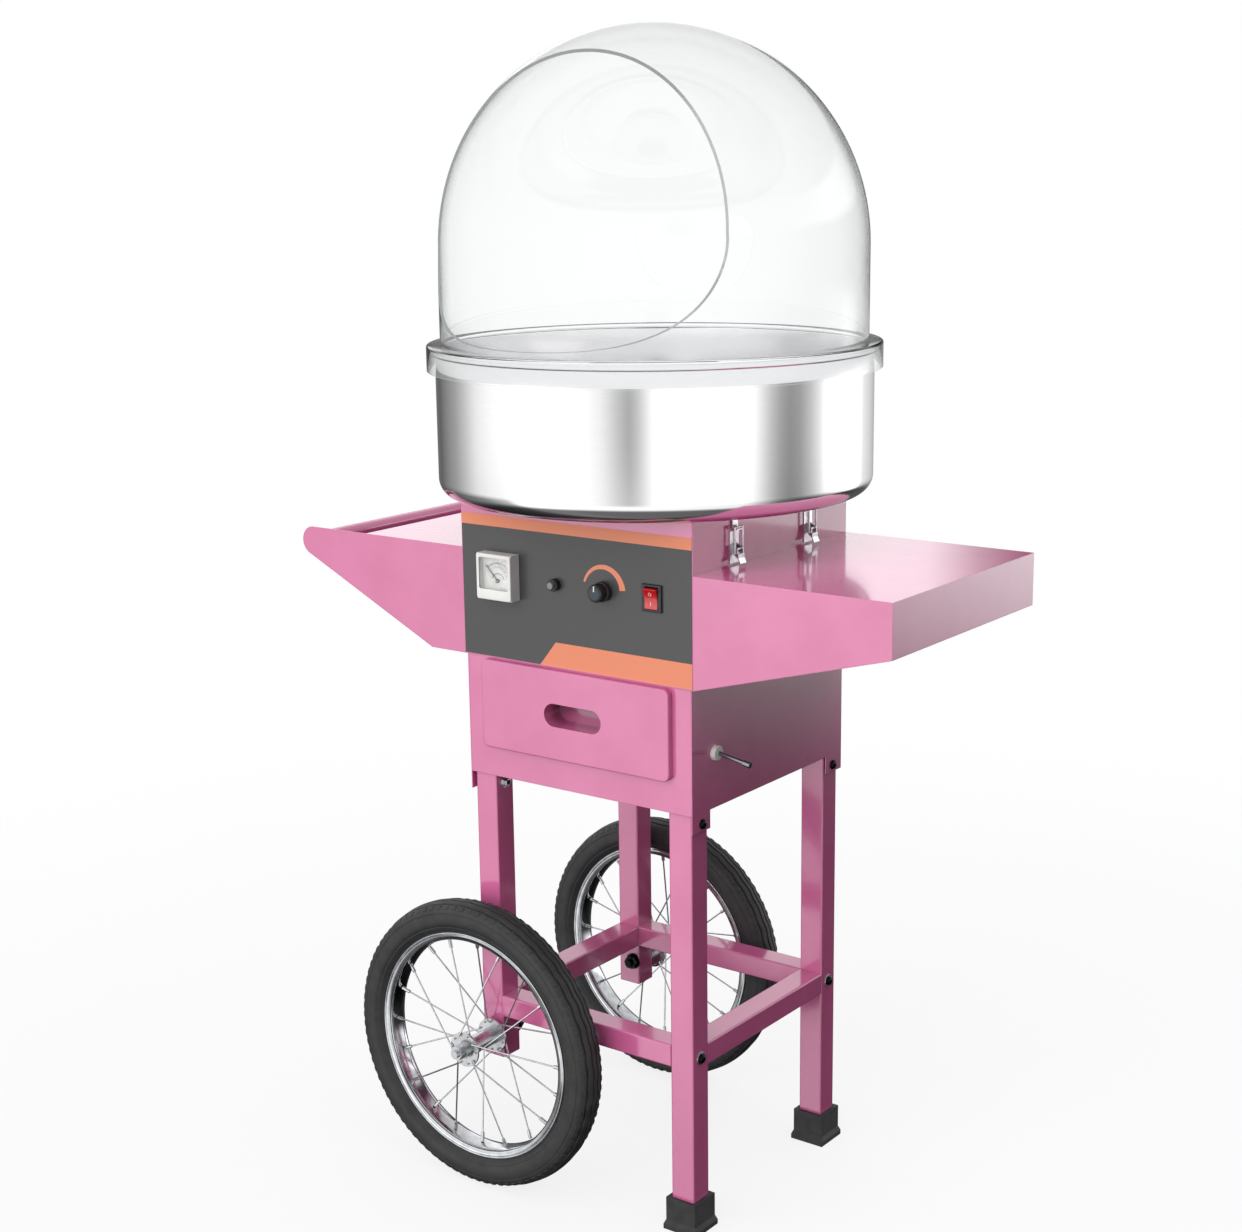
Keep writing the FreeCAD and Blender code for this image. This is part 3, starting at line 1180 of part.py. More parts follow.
# ---------------------------------------------------------------------------- drive and spinner head
def motor_housing():
    """Motor can with end bells and the stator ring inside."""
    wall_r = MOTOR_R - MOTOR_WALL
    bore = SHAFT_R + SNUG
    low, high = MOTOR_BOTTOM, MOTOR_TOP
    can = turned([(bore, low), (MOTOR_R, low), (MOTOR_R, high), (bore, high), (bore, high - MOTOR_BELL),
                  (wall_r, high - MOTOR_BELL), (wall_r, low + MOTOR_BELL), (bore, low + MOTOR_BELL)])
    stator = ring(wall_r, ROTOR_R + STATOR_GAP, (0, 0, low + STACK_MARGIN), (0, 0, high - STACK_MARGIN))
    return fused([can, stator])


def motor_mount():
    """Plate that the motor hangs from, and its four stand-offs to the top plate."""
    x, y = MOUNT_X + MOUNT_MARGIN, MOUNT_Y + MOUNT_MARGIN
    plate_top = MOTOR_TOP + MOUNT_PLATE
    plate = block((-x, x), (-y, y), (MOTOR_TOP, plate_top))
    items = [plate.cut(rod(SLEEVE_R, (0, 0, MOTOR_TOP - PAST), (0, 0, plate_top + PAST)))]
    for px in (-MOUNT_X, MOUNT_X):
        for py in (-MOUNT_Y, MOUNT_Y):
            items.append(rod(MOUNT_POST_R, (px, py, plate_top), (px, py, UPPER_TOP - SHEET)))
    return items


def drive_shaft():
    """Motor shaft with its rotor, the slip-ring sleeve with two rings, and the head nut."""
    bore = SHAFT_R + SNUG
    items = [rod(SHAFT_R, (0, 0, MOTOR_BOTTOM - SHAFT_BELOW), (0, 0, HEAD_FLOOR + SHAFT_ABOVE)),
             ring(ROTOR_R, bore, (0, 0, MOTOR_BOTTOM + STACK_MARGIN), (0, 0, MOTOR_TOP - STACK_MARGIN)),
             ring(SLEEVE_R, bore, (0, 0, SLEEVE_LOW), (0, 0, SLEEVE_HIGH)),
             hexagon(HEAD_NUT_R, bore, (0, 0, HEAD_FLOOR), (0, 0, HEAD_FLOOR + HEAD_NUT))]
    for z in RING_Z:
        items.append(ring(RING_R, SLEEVE_R + SNUG, (0, 0, z - RING / 2), (0, 0, z + RING / 2)))
    return items


def brush_block():
    """Insulating holder on the top plate with two carbon brushes that face the slip rings."""
    tip = RING_R + BRUSH_GAP
    near = tip + HOLDER_BACK
    holder = block((near, near + HOLDER), (-HOLDER_HALF, HOLDER_HALF), (UPPER_TOP, RING_Z[1] + RING_PITCH))
    items = []
    for z in RING_Z:
        holder = holder.cut(rod(BRUSH_R + SNUG, (tip, 0, z), (tip + BRUSH, 0, z)))
        items.append(rod(BRUSH_R, (tip, 0, z), (tip + BRUSH, 0, z)))
    return [holder] + items


def head_base():
    """Cast floor of the spinner head with its hub."""
    bore = SHAFT_R + SNUG
    hub_low = HEAD_BOTTOM - HEAD_HUB
    return turned([(bore, hub_low), (HEAD_HUB_R, hub_low), (HEAD_HUB_R, HEAD_BOTTOM), (HEAD_R, HEAD_BOTTOM),
                   (HEAD_R, HEAD_FLOOR), (bore, HEAD_FLOOR)])


def head_band():
    """Slotted band that the sugar threads leave through."""
    outer = HEAD_R - LOOSE
    band = ring(outer, outer - HEAD_BAND_WALL, (0, 0, HEAD_FLOOR), (0, 0, HEAD_FLOOR + HEAD_BAND))
    half = HEAD_SLOT_WIDTH / 2
    low, high = HEAD_FLOOR + HEAD_SLOT_MARGIN, HEAD_FLOOR + HEAD_BAND - HEAD_SLOT_MARGIN
    slots = []
    for k in range(HEAD_SLOTS):
        slot = block((outer - PAST, outer + PAST), (-half, half), (low, high))
        slot.rotate(Vector(0, 0, 0), Vector(0, 0, 1), 360.0 / HEAD_SLOTS * k)
        slots.append(slot)
    return band.cut(Part.makeCompound(slots))


def head_heater():
    """Ribbon heater standing inside the band."""
    return ring(HEATER_R, HEATER_R - HEATER_WALL, (0, 0, HEAD_FLOOR), (0, 0, HEAD_FLOOR + HEATER_HEIGHT))


def head_cap():
    """Spun cover with the sugar neck in its middle."""
    low = HEAD_FLOOR + HEAD_BAND
    top = low + HEAD_CAP_RISE
    neck = HEAD_NECK_R
    return turned([(HEAD_R, low), (HEAD_R, low + SHEET), (neck + SHEET, top + SHEET),
                   (neck + SHEET, top + HEAD_NECK), (neck, top + HEAD_NECK), (neck, top),
                   (HEAD_R - HEAD_CAP_SEAT, low)])


# ---------------------------------------------------------------------------- build
os.makedirs("parts", exist_ok=True)
SINGLE = (lower_side_panels, lower_back_panel, lower_floor, lower_front_frame, drawer_runners,
          upper_side_panels, upper_back_panel, control_panel, panel_overlay, top_plate, upper_floor,
          right_tray, left_tray, push_handle, legs, cross_bars, rubber_feet, bolts_and_nuts, wheel_axles,
          drawer_front, drawer_box, bowl, dome, meter_case, meter_window, meter_needle, breaker_body,
          reset_button, heat_control, temp_knob, switch_body, power_rocker, cable_gland, earth_stud,
          motor_housing, motor_mount, drive_shaft, brush_block, head_base, head_band, head_heater, head_cap)
for make in SINGLE:
    write(make.__name__, make())
for place, y in (("front", -WHEEL_TRACK_HALF), ("rear", WHEEL_TRACK_HALF)):
    for make in (tyre, rim, hub, spokes):
        write(place + "_" + make.__name__, make(y))
write_latches()
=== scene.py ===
import math

import bmesh
import bpy
from mathutils import Matrix, Vector


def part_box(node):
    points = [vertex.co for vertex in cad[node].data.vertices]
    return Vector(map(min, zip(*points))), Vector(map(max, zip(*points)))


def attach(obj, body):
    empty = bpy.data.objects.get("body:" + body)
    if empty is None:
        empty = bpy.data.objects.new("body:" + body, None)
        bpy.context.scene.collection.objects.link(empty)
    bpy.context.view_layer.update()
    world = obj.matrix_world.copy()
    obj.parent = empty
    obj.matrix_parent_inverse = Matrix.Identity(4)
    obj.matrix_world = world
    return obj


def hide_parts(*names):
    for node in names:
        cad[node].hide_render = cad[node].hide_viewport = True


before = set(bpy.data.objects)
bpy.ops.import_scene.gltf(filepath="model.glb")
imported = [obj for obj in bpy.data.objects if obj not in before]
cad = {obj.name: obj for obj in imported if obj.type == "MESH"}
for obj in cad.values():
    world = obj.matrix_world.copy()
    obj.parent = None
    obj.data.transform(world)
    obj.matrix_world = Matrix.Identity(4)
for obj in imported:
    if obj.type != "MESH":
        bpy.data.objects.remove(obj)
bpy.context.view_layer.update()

# ---------------------------------------------------------------------------- camera
# A normal lens at chest height, in front of the cart and to its right.  It is rolled by less than a degree,
# and its small shift sets the cart in the middle of the frame.
camera_data = bpy.data.cameras.new("studio_camera")
camera_data.lens = 59.94
camera_data.shift_x = -0.0059
camera_data.shift_y = 0.0123
camera_data.clip_end = 40.0
camera = bpy.data.objects.new("studio_camera", camera_data)
bpy.context.scene.collection.objects.link(camera)
camera_place = Vector((1.4569, -1.9993, 1.2567))
looked_at = Vector((-0.0357, 0.0, 0.68305))
roll = math.radians(-0.75)
backwards = (camera_place - looked_at).normalized()
level = Vector((0.0, 0.0, 1.0)).cross(backwards).normalized()
upwards = backwards.cross(level)
across = level * math.cos(roll) + upwards * math.sin(roll)
upwards = upwards * math.cos(roll) - level * math.sin(roll)
turned_camera = Matrix((across, upwards, backwards)).transposed().to_4x4()
camera.matrix_world = Matrix.Translation(camera_place) @ turned_camera
bpy.context.scene.camera = camera
bpy.context.scene.view_settings.view_transform = "Standard"


# ---------------------------------------------------------------------------- studio
# A pale paper floor that fades out into a white surround.  One large soft box lights the cart from the front,
# two weaker ones from above and from behind; polished and glossy parts mirror a tent of white and grey walls.
def linear(code):
    """An sRGB hex colour as linear RGBA."""
    parts = [int(code[i:i + 2], 16) / 255 for i in (1, 3, 5)]
    return tuple(p / 12.92 if p <= 0.04045 else ((p + 0.055) / 1.055) ** 2.4 for p in parts) + (1.0,)


def add_node(tree, kind, inputs=(), stops=(), **settings):
    """Adds one node with its settings and links.  Inputs come by name or in order, as values, sockets or
    nodes, which give their first output.  Stops are a ramp's (place, hex colour or grey level)."""
    made = tree.nodes.new(kind)
    for name, value in settings.items():
        setattr(made, name, value)
    for name, value in inputs.items() if isinstance(inputs, dict) else enumerate(inputs):
        if isinstance(value, bpy.types.Node):
            value = value.outputs[0]
        if isinstance(value, bpy.types.NodeSocket):
            tree.links.new(value, made.inputs[name])
        else:
            made.inputs[name].default_value = value
    if stops:
        while len(made.color_ramp.elements) < len(stops):
            made.color_ramp.elements.new(0.5)
        for element, (place, colour) in zip(made.color_ramp.elements, stops):
            element.position = place
            element.color = linear(colour) if isinstance(colour, str) else (colour, colour, colour, 1.0)
    return made


world = bpy.data.worlds.new("studio_surround")
world.use_nodes = True
bpy.context.scene.world = world
tree = world.node_tree
tree.nodes.clear()
aim = add_node(tree, "ShaderNodeTexCoord").outputs["Generated"]
level_towards_camera = Vector((backwards.x, backwards.y, 0.0)).normalized()
level_right = Vector((-level_towards_camera.y, level_towards_camera.x, 0.0))
towards = add_node(tree, "ShaderNodeVectorMath", (aim, level_towards_camera), operation="DOT_PRODUCT")
aside = add_node(tree, "ShaderNodeVectorMath", (aim, level_right), operation="DOT_PRODUCT")
height = add_node(tree, "ShaderNodeSeparateXYZ", (aim,)).outputs["Z"]
bearing = add_node(tree, "ShaderNodeMath", (aside.outputs["Value"], towards.outputs["Value"]),
                   operation="ARCTAN2")
bearing = add_node(tree, "ShaderNodeMath", (bearing, 180.0 / math.pi), operation="MULTIPLY")
bearing = add_node(tree, "ShaderNodeMapRange", {"Value": bearing, "From Min": -180.0, "From Max": 180.0})

# The tent's walls, from the lowest up.  Each has the two heights (sines of the rise) between which it takes
# over from the wall below, and its light level at bearings in degrees right of the camera.
TENT_GAIN = 3.5
TENT = (
    (None, ((-180, 0.05), (-135, 0.12), (-104, 0.25), (-86, 0.5), (-76, 1.5), (-60, 1.6), (-40, 1.2),
            (0, 1.15), (46, 1.0), (54, 0.6), (66, 0.15), (78, 0.06), (110, 0.02), (145, 0.08), (178, 0.1),
            (180, 0.05))),
    ((-0.31, -0.14), ((-180, 0.1), (-168, 0.17), (-154, 0.12), (-128, 0.38), (-118, 0.6), (-106, 0.97),
                      (-96, 1.12), (-88, 1.2), (-80, 1.3), (-74, 2.1), (-50, 2.1), (-38, 1.2), (-28, 0.98),
                      (-20, 0.6), (-14, 0.38), (-9, 0.62), (-2, 1.2), (4, 1.5), (46, 1.5), (53, 1.05),
                      (60, 0.62), (66, 0.4), (72, 0.3), (79, 0.38), (86, 0.62), (93, 0.96), (109, 2.4),
                      (113, 2.6), (119, 3.4), (127, 2.6), (136, 0.95), (180, 0.2))),
    ((-0.09, -0.05), ((-180, 0.1), (-120, 0.3), (-95, 1.0), (60, 1.2), (85, 0.5), (105, 0.8), (130, 0.5),
                      (160, 0.2), (180, 0.1))),
    ((0.08, 0.14), ((-180, 1.5), (-140, 1.7), (-100, 1.3), (-34, 1.3), (-22, 0.8), (-12, 0.3), (16, 0.3),
                    (34, 0.6), (50, 0.95), (85, 1.6), (105, 2.4), (125, 2.0), (146, 0.3), (152, 0.03),
                    (169.6, 0.03), (171.2, 1.5), (180, 1.5))),
    ((0.28, 0.34), ((-180, 1.2), (-130, 0.9), (-80, 1.2), (-34, 1.3), (-22, 0.8), (-12, 0.3), (16, 0.3),
                    (34, 0.6), (50, 0.85), (80, 0.9), (150, 1.0), (180, 1.2))),
    ((0.55, 0.8), ((-180, 0.8), (-90, 1.0), (90, 0.7), (180, 0.8))),
)
mirrored = None
for rises, levels in TENT:
    wall = add_node(tree, "ShaderNodeValToRGB", (bearing,),
                    [((degrees + 180) / 360, light / TENT_GAIN) for degrees, light in levels])
    if mirrored is None:
        mirrored = wall
        continue
    low, high = rises
    blend = add_node(tree, "ShaderNodeMapRange", {"Value": height, "From Min": low, "From Max": high},
                     interpolation_type="SMOOTHSTEP")
    mirrored = add_node(tree, "ShaderNodeMix", {0: blend, 6: mirrored, 7: wall}, data_type="RGBA").outputs[2]
# Under the cart the tent goes nearly dark.
DARK_TO, LIT_FROM, DARK_LEVEL = -0.66, -0.4, 0.12
below = add_node(tree, "ShaderNodeMapRange", {"Value": height, "From Min": DARK_TO, "From Max": LIT_FROM,
                                              "To Min": DARK_LEVEL}, interpolation_type="SMOOTHSTEP")
mirror_gain = add_node(tree, "ShaderNodeMath", (below, TENT_GAIN), operation="MULTIPLY")


def soft_box(right, rise, tightness, strength):
    """Light that falls off round its own way, in degrees right of the camera and over the horizon."""
    right, rise = math.radians(right), math.radians(rise)
    flat = level_towards_camera * math.cos(right) + level_right * math.sin(right)
    way = flat * math.cos(rise) + Vector((0.0, 0.0, math.sin(rise)))
    lobe = add_node(tree, "ShaderNodeVectorMath", (aim, way), operation="DOT_PRODUCT").outputs["Value"]
    lobe = add_node(tree, "ShaderNodeMath", (lobe, 0.0), operation="MAXIMUM")
    lobe = add_node(tree, "ShaderNodeMath", (lobe, tightness), operation="POWER")
    return add_node(tree, "ShaderNodeMath", (lobe, strength), operation="MULTIPLY")


DIM_ROOM = 0.02
soft_light = soft_box(-46, 16, 4.0, 3.3)
for more in (soft_box(72, 68, 5.0, 1.9), soft_box(-165, 8, 4.0, 1.3), DIM_ROOM):
    soft_light = add_node(tree, "ShaderNodeMath", (soft_light, more), operation="ADD")
open_sky = add_node(tree, "ShaderNodeBackground", {"Color": (1, 1, 1, 1), "Strength": soft_light})
tent_sky = add_node(tree, "ShaderNodeBackground", {"Color": mirrored, "Strength": mirror_gain})
white = add_node(tree, "ShaderNodeBackground", {"Color": (1, 1, 1, 1), "Strength": 1.0})
path = add_node(tree, "ShaderNodeLightPath").outputs
shiny = add_node(tree, "ShaderNodeMixShader", (path["Is Glossy Ray"], open_sky, tent_sky))
straight = add_node(tree, "ShaderNodeMath", (path["Is Camera Ray"], path["Is Transmission Ray"]),
                    operation="MAXIMUM")
seen = add_node(tree, "ShaderNodeMixShader", (straight, shiny, white))
add_node(tree, "ShaderNodeOutputWorld", {"Surface": seen})

# Matt paper: seen straight it glows almost white, but it throws little light up under the cart, and it
# lets mirror rays through to the tent.
FLOOR_R, FADE_FROM, FADE_TO = 2.4, 0.9, 2.3
PAPER_DARK, PAPER_LIFT, PAPER_GLOW = 0.08, 0.77, 0.82
floor_mesh = bpy.data.meshes.new("studio_floor")
shape = bmesh.new()
bmesh.ops.create_circle(shape, cap_ends=True, segments=96, radius=FLOOR_R)
shape.to_mesh(floor_mesh)
shape.free()
floor = bpy.data.objects.new("studio_floor", floor_mesh)
bpy.context.scene.collection.objects.link(floor)
paper = bpy.data.materials.new("matt_paper_floor")
paper.use_nodes = True
tree = paper.node_tree
tree.nodes.clear()
place = add_node(tree, "ShaderNodeTexCoord").outputs["Object"]
out = add_node(tree, "ShaderNodeVectorMath", (place,), operation="LENGTH").outputs["Value"]
fade = add_node(tree, "ShaderNodeMapRange", {"Value": out, "From Min": FADE_FROM, "From Max": FADE_TO},
                interpolation_type="SMOOTHSTEP")
path = add_node(tree, "ShaderNodeLightPath").outputs
straight = add_node(tree, "ShaderNodeMath", (path["Is Camera Ray"], path["Is Transmission Ray"]),
                    operation="MAXIMUM")
shade = add_node(tree, "ShaderNodeMath", (straight, PAPER_LIFT, PAPER_DARK), operation="MULTIPLY_ADD")
paper_colour = add_node(tree, "ShaderNodeCombineColor", (shade, shade, shade))
lit = add_node(tree, "ShaderNodeBsdfDiffuse", {"Color": paper_colour})
glow = add_node(tree, "ShaderNodeEmission", {"Color": (1, 1, 1, 1), "Strength": 1.0})
lift = add_node(tree, "ShaderNodeMath", (straight, PAPER_GLOW), operation="MULTIPLY")
ground = add_node(tree, "ShaderNodeMixShader", (lift, lit, glow))
gone = add_node(tree, "ShaderNodeBsdfTransparent")
open_part = add_node(tree, "ShaderNodeMath", (fade, path["Is Glossy Ray"]), operation="MAXIMUM")
edge = add_node(tree, "ShaderNodeMixShader", (open_part, ground, gone))
add_node(tree, "ShaderNodeOutputMaterial", {"Surface": edge})
floor_mesh.materials.append(paper)


# ---------------------------------------------------------------------------- painted sheet and tube
# The cabinet, trays, legs and bars are 1.2 mm steel sheet and 32 mm square tube, folded, welded and then
# powder coated in one gloss pink.
def new_finish(name, colour, **sockets):
    """A material and its Principled shader, with the shader's own constants set."""
    material = bpy.data.materials.new(name)
    material.use_nodes = True
    shader = material.node_tree.nodes["Principled BSDF"]
    shader.inputs["Base Color"].default_value = linear(colour)
    for socket, value in sockets.items():
        shader.inputs[socket.replace("_", " ").title().replace("Ior", "IOR")].default_value = value
    return material, shader


def vary(shader, size_mm=None, detail=2.0, stretch=(1.0, 1.0, 1.0), value=None, shades=None,
         stops=(0.35, 0.65), rough=None, relief_mm=None, strength=1.0, rounded_mm=None):
    """Varies a finish by noise with features about size_mm across, longer along an axis whose stretch is
    below 1, or by a value of its own.  Its colour goes between two shades, its roughness between two limits,
    and its relief has a real depth, over edges that rounded_mm softens."""
    tree = shader.id_data
    if value is None:
        place = add_node(tree, "ShaderNodeTexCoord").outputs["Object"]
        moved = add_node(tree, "ShaderNodeMapping", {"Vector": place, "Scale": stretch})
        value = add_node(tree, "ShaderNodeTexNoise",
                         {"Vector": moved, "Scale": 1000.0 / size_mm, "Detail": detail})
    if shades:
        colour = add_node(tree, "ShaderNodeValToRGB", (value,), tuple(zip(stops, shades)))
        tree.links.new(colour.outputs[0], shader.inputs["Base Color"])
    if rough:
        low, high = rough
        amount = add_node(tree, "ShaderNodeMapRange", {"Value": value, "To Min": low, "To Max": high})
        tree.links.new(amount.outputs[0], shader.inputs["Roughness"])
    if relief_mm:
        bump = add_node(tree, "ShaderNodeBump",
                        {"Height": value, "Distance": relief_mm / 1000, "Strength": strength})
        if rounded_mm:
            soft = add_node(tree, "ShaderNodeBevel", {"Radius": rounded_mm / 1000}, samples=4)
            tree.links.new(soft.outputs[0], bump.inputs["Normal"])
        tree.links.new(bump.outputs[0], shader.inputs["Normal"])


def finish(material, *nodes):
    """Gives CAD nodes their real finish."""
    for node in nodes:
        slots = cad[node].data.materials
        slots.clear()
        slots.append(material)


# Gloss powder coat over steel: a deep pink with a wet shine, the orange peel of about 2.5 mm that such
# coats flow out to, and a slightly thicker, darker film here and there.
pink_powder_coat, shader = new_finish("gloss_pink_powder_coat", "#ce6597", roughness=0.16, ior=1.75,
                                      coat_weight=0.5, coat_roughness=0.06)
vary(shader, 70.0, 3.0, shades=("#cb6194", "#d1699b"))
vary(shader, 2.5, 1.0, relief_mm=0.012, strength=0.6, rounded_mm=0.9)
finish(pink_powder_coat, "lower_side_panels", "lower_back_panel", "lower_floor", "lower_front_frame",
       "upper_side_panels", "upper_back_panel", "control_panel", "top_plate", "upper_floor", "right_tray",
       "left_tray", "push_handle", "legs", "cross_bars")

# The drawer's front wears the same coat, with painted shade in its deep finger cup: the colour goes a dull
# maroon towards the top and the back.  Depths and heights are in metres.
CUP_HALF_HEIGHT, UNSHADED_TO, FULL_SHADE_FROM = 0.014, 0.008, 0.02
cup_shaded_coat = pink_powder_coat.copy()
cup_shaded_coat.name = "pink_powder_coat_thin_in_cup"
tree = cup_shaded_coat.node_tree
coat = tree.nodes["Principled BSDF"].inputs["Base Color"]
low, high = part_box("drawer_front")
cup_z = (low[2] + high[2]) / 2
where = add_node(tree, "ShaderNodeSeparateXYZ", (add_node(tree, "ShaderNodeTexCoord").outputs["Object"],))
# Painted shade: the cup's colour is mixed towards a dark maroon the deeper it lies and the nearer its top.
deep = add_node(tree, "ShaderNodeMapRange", {
    "Value": where.outputs["Y"], "From Min": low[1] + UNSHADED_TO, "From Max": low[1] + FULL_SHADE_FROM})
upper = add_node(tree, "ShaderNodeMapRange", {
    "Value": where.outputs["Z"], "From Min": cup_z - CUP_HALF_HEIGHT, "From Max": cup_z + CUP_HALF_HEIGHT,
    "To Min": 0.3})
cup_shading = add_node(tree, "ShaderNodeMath", (deep, upper), operation="MULTIPLY")
shaded_colour = add_node(tree, "ShaderNodeMix", {0: cup_shading, 6: coat.links[0].from_socket, 7: linear("#4a1a2e")},
                data_type="RGBA")
tree.links.new(shaded_colour.outputs[2], coat)
finish(cup_shaded_coat, "drawer_front")

# ---------------------------------------------------------------------------- drawer inside
# The drawer's box and its two angle runners are bare galvanised sheet, folded and spot welded, and rubbed
# where the box slides.

# Galvanised sheet: dull grey metal with the faint patchwork of 9 mm flakes that the zinc leaves.
galvanised_sheet, shader = new_finish("galvanised_sheet", "#9a9c9e", metallic=1.0, roughness=0.42)
tree = shader.id_data
place = add_node(tree, "ShaderNodeTexCoord").outputs["Object"]
flake = add_node(tree, "ShaderNodeTexVoronoi", {"Vector": place, "Scale": 1000.0 / 9.0, "Randomness": 1.0})
spangle = add_node(tree, "ShaderNodeSeparateColor", (flake.outputs["Color"],))
vary(shader, value=spangle, shades=("#8e9194", "#aaacae"), stops=(0.0, 1.0), rough=(0.34, 0.5))
vary(shader, 0.8, relief_mm=0.008, strength=0.4, rounded_mm=0.5)
finish(galvanised_sheet, "drawer_box", "drawer_runners")

# ---------------------------------------------------------------------------- feet
# Push-on feet under the two long legs, moulded in one piece of black rubber.

# Moulded rubber: matt and dark, with a fine skin and paler patches of dust.
moulded_rubber, shader = new_finish("moulded_black_rubber", "#262627", roughness=0.62, ior=1.52)
vary(shader, 14.0, 3.0, shades=("#232324", "#323233"))
vary(shader, 0.9, 3.0, relief_mm=0.05, strength=0.6, rounded_mm=1.0)
finish(moulded_rubber, "rubber_feet")


# ---------------------------------------------------------------------------- bolts, washers and nuts
# M6 button-head bolts in black oxide, with bright zinc washers under heads and nuts.  The upper ones hold
# the cabinet's tabs to the legs, the lower ones run into plugs in the bars, and three hold each tray.
def mesh_object(name, shape, material, flat_over=35.0):
    """An object at the origin from a bmesh, with smooth faces and crisp edges."""
    mesh = bpy.data.meshes.new(name)
    shape.to_mesh(mesh)
    shape.free()
    mesh.materials.append(material)
    mesh.shade_smooth()
    mesh.set_sharp_from_angle(angle=math.radians(flat_over))
    made = bpy.data.objects.new(name, mesh)
    bpy.context.scene.collection.objects.link(made)
    return made


def skin(loops, ring=False, shape=None):
    """A bmesh whose faces join each loop of points (m) to the next.  A ring joins up with its first loop;
    else both ends are closed.  Given a shape, it adds to that."""
    if shape is None:
        shape = bmesh.new()
    rows = [[shape.verts.new(point) for point in loop] for loop in loops]
    count = len(rows[0])
    for here, there in zip(rows, rows[1:] + (rows[:1] if ring else [])):
        for k in range(count):
            shape.faces.new((here[k], here[(k + 1) % count], there[(k + 1) % count], there[k]))
    if not ring:
        shape.faces.new(rows[0][::-1])
        shape.faces.new(rows[-1])
    bmesh.ops.remove_doubles(shape, verts=shape.verts, dist=1e-6)
    bmesh.ops.recalc_face_normals(shape, faces=shape.faces)
    return shape


def turned_shape(outline, centre, axis="Z", steps=96, warp=None):
    """Closed (radius, along) outline in mm turned about an axis through centre (m); warp moves a point."""
    loops = []
    for step in range(steps):
        angle = 2 * math.pi * step / steps
        loop = []
        for number, (r, along) in enumerate(outline):
            if warp:
                r, along = warp(number, r, along, angle)
            u, v, w = r * math.cos(angle) / 1000, r * math.sin(angle) / 1000, along / 1000
            loop.append(Vector((u, v, w) if axis == "Z" else (u, w, v)) + Vector(centre))
        loops.append(loop)
    return skin(loops, ring=True)


def arc(centre, radius, start, end, steps):
    """Points (a, b) along an arc, angles in degrees."""
    return [(centre[0] + radius * math.cos(math.radians(start + (end - start) * k / steps)),
             centre[1] + radius * math.sin(math.radians(start + (end - start) * k / steps)))
            for k in range(steps + 1)]


def baked(made):
    """The evaluated object as a plain mesh object of the same name, with its modifiers gone."""
    graph = bpy.context.evaluated_depsgraph_get()
    mesh = bpy.data.meshes.new_from_object(made.evaluated_get(graph))
    mesh.name = made.name
    made.modifiers.clear()
    made.data = mesh
    return made


def set_on_points(name, part, places, material, size=1.0):
    """Copies of part's mesh, each at a place (point in m, its Z way, its X way), as one plain mesh object."""
    mesh = bpy.data.meshes.new(name)
    mesh.from_pydata([p[0] for p in places], [], [])
    for label, index in (("z_way", 1), ("x_way", 2)):
        field = mesh.attributes.new(label, "FLOAT_VECTOR", "POINT")
        field.data.foreach_set("vector", [c for p in places for c in p[index]])
    made = bpy.data.objects.new(name, mesh)
    bpy.context.scene.collection.objects.link(made)
    tree = bpy.data.node_groups.new(name + "_layout", "GeometryNodeTree")
    for label, kind in (("Places", "Geometry"), ("Part", "Object"), ("Part Size", "Float")):
        tree.interface.new_socket(label, in_out="INPUT", socket_type="NodeSocket" + kind)
    tree.interface.new_socket("Result", in_out="OUTPUT", socket_type="NodeSocketGeometry")
    entry = add_node(tree, "NodeGroupInput").outputs
    z_way = add_node(tree, "GeometryNodeInputNamedAttribute", {"Name": "z_way"}, data_type="FLOAT_VECTOR")
    x_way = add_node(tree, "GeometryNodeInputNamedAttribute", {"Name": "x_way"}, data_type="FLOAT_VECTOR")
    upright = add_node(tree, "FunctionNodeAlignRotationToVector", {"Vector": z_way}, axis="Z")
    turned = add_node(tree, "FunctionNodeAlignRotationToVector", {"Rotation": upright, "Vector": x_way},
                      axis="X", pivot_axis="Z")
    source = add_node(tree, "GeometryNodeObjectInfo", {"Object": entry["Part"]})
    copies = add_node(tree, "GeometryNodeInstanceOnPoints", {
        "Points": entry["Places"], "Instance": source.outputs["Geometry"], "Rotation": turned,
        "Scale": entry["Part Size"]})
    solid = add_node(tree, "GeometryNodeRealizeInstances", (copies,))
    coloured = add_node(tree, "GeometryNodeSetMaterial", {"Geometry": solid, "Material": material})
    add_node(tree, "NodeGroupOutput", {"Result": coloured})
    layout = made.modifiers.new("layout", "NODES")
    layout.node_group = tree
    for socket in tree.interface.items_tree:
        if socket.name == "Part":
            layout[socket.identifier] = part
        if socket.name == "Part Size":
            layout[socket.identifier] = size
    baked(made)
    for label in ("z_way", "x_way"):
        if label in made.data.attributes:
            made.data.attributes.remove(made.data.attributes[label])
    bpy.data.objects.remove(part)
    return made


# Black oxide: a thin oiled film, so the steel stays metal but nearly black, satin and slightly patchy.
black_oxide, shader = new_finish("black_oxide_steel", "#17181a", metallic=1.0, roughness=0.38)
vary(shader, 3.0, shades=("#121315", "#202226"))
vary(shader, 0.6, relief_mm=0.01, strength=0.5)
# Bright zinc: a pale silver plate with soft highlights, brighter and duller in patches of a few mm.
bright_zinc, shader = new_finish("bright_zinc_plate", "#c9cbce", metallic=1.0, roughness=0.24)
vary(shader, 6.0, shades=("#bfc1c3", "#d3d5d8"))
vary(shader, 2.0, rough=(0.18, 0.32))
vary(shader, 0.7, relief_mm=0.006, strength=0.5, rounded_mm=0.3)

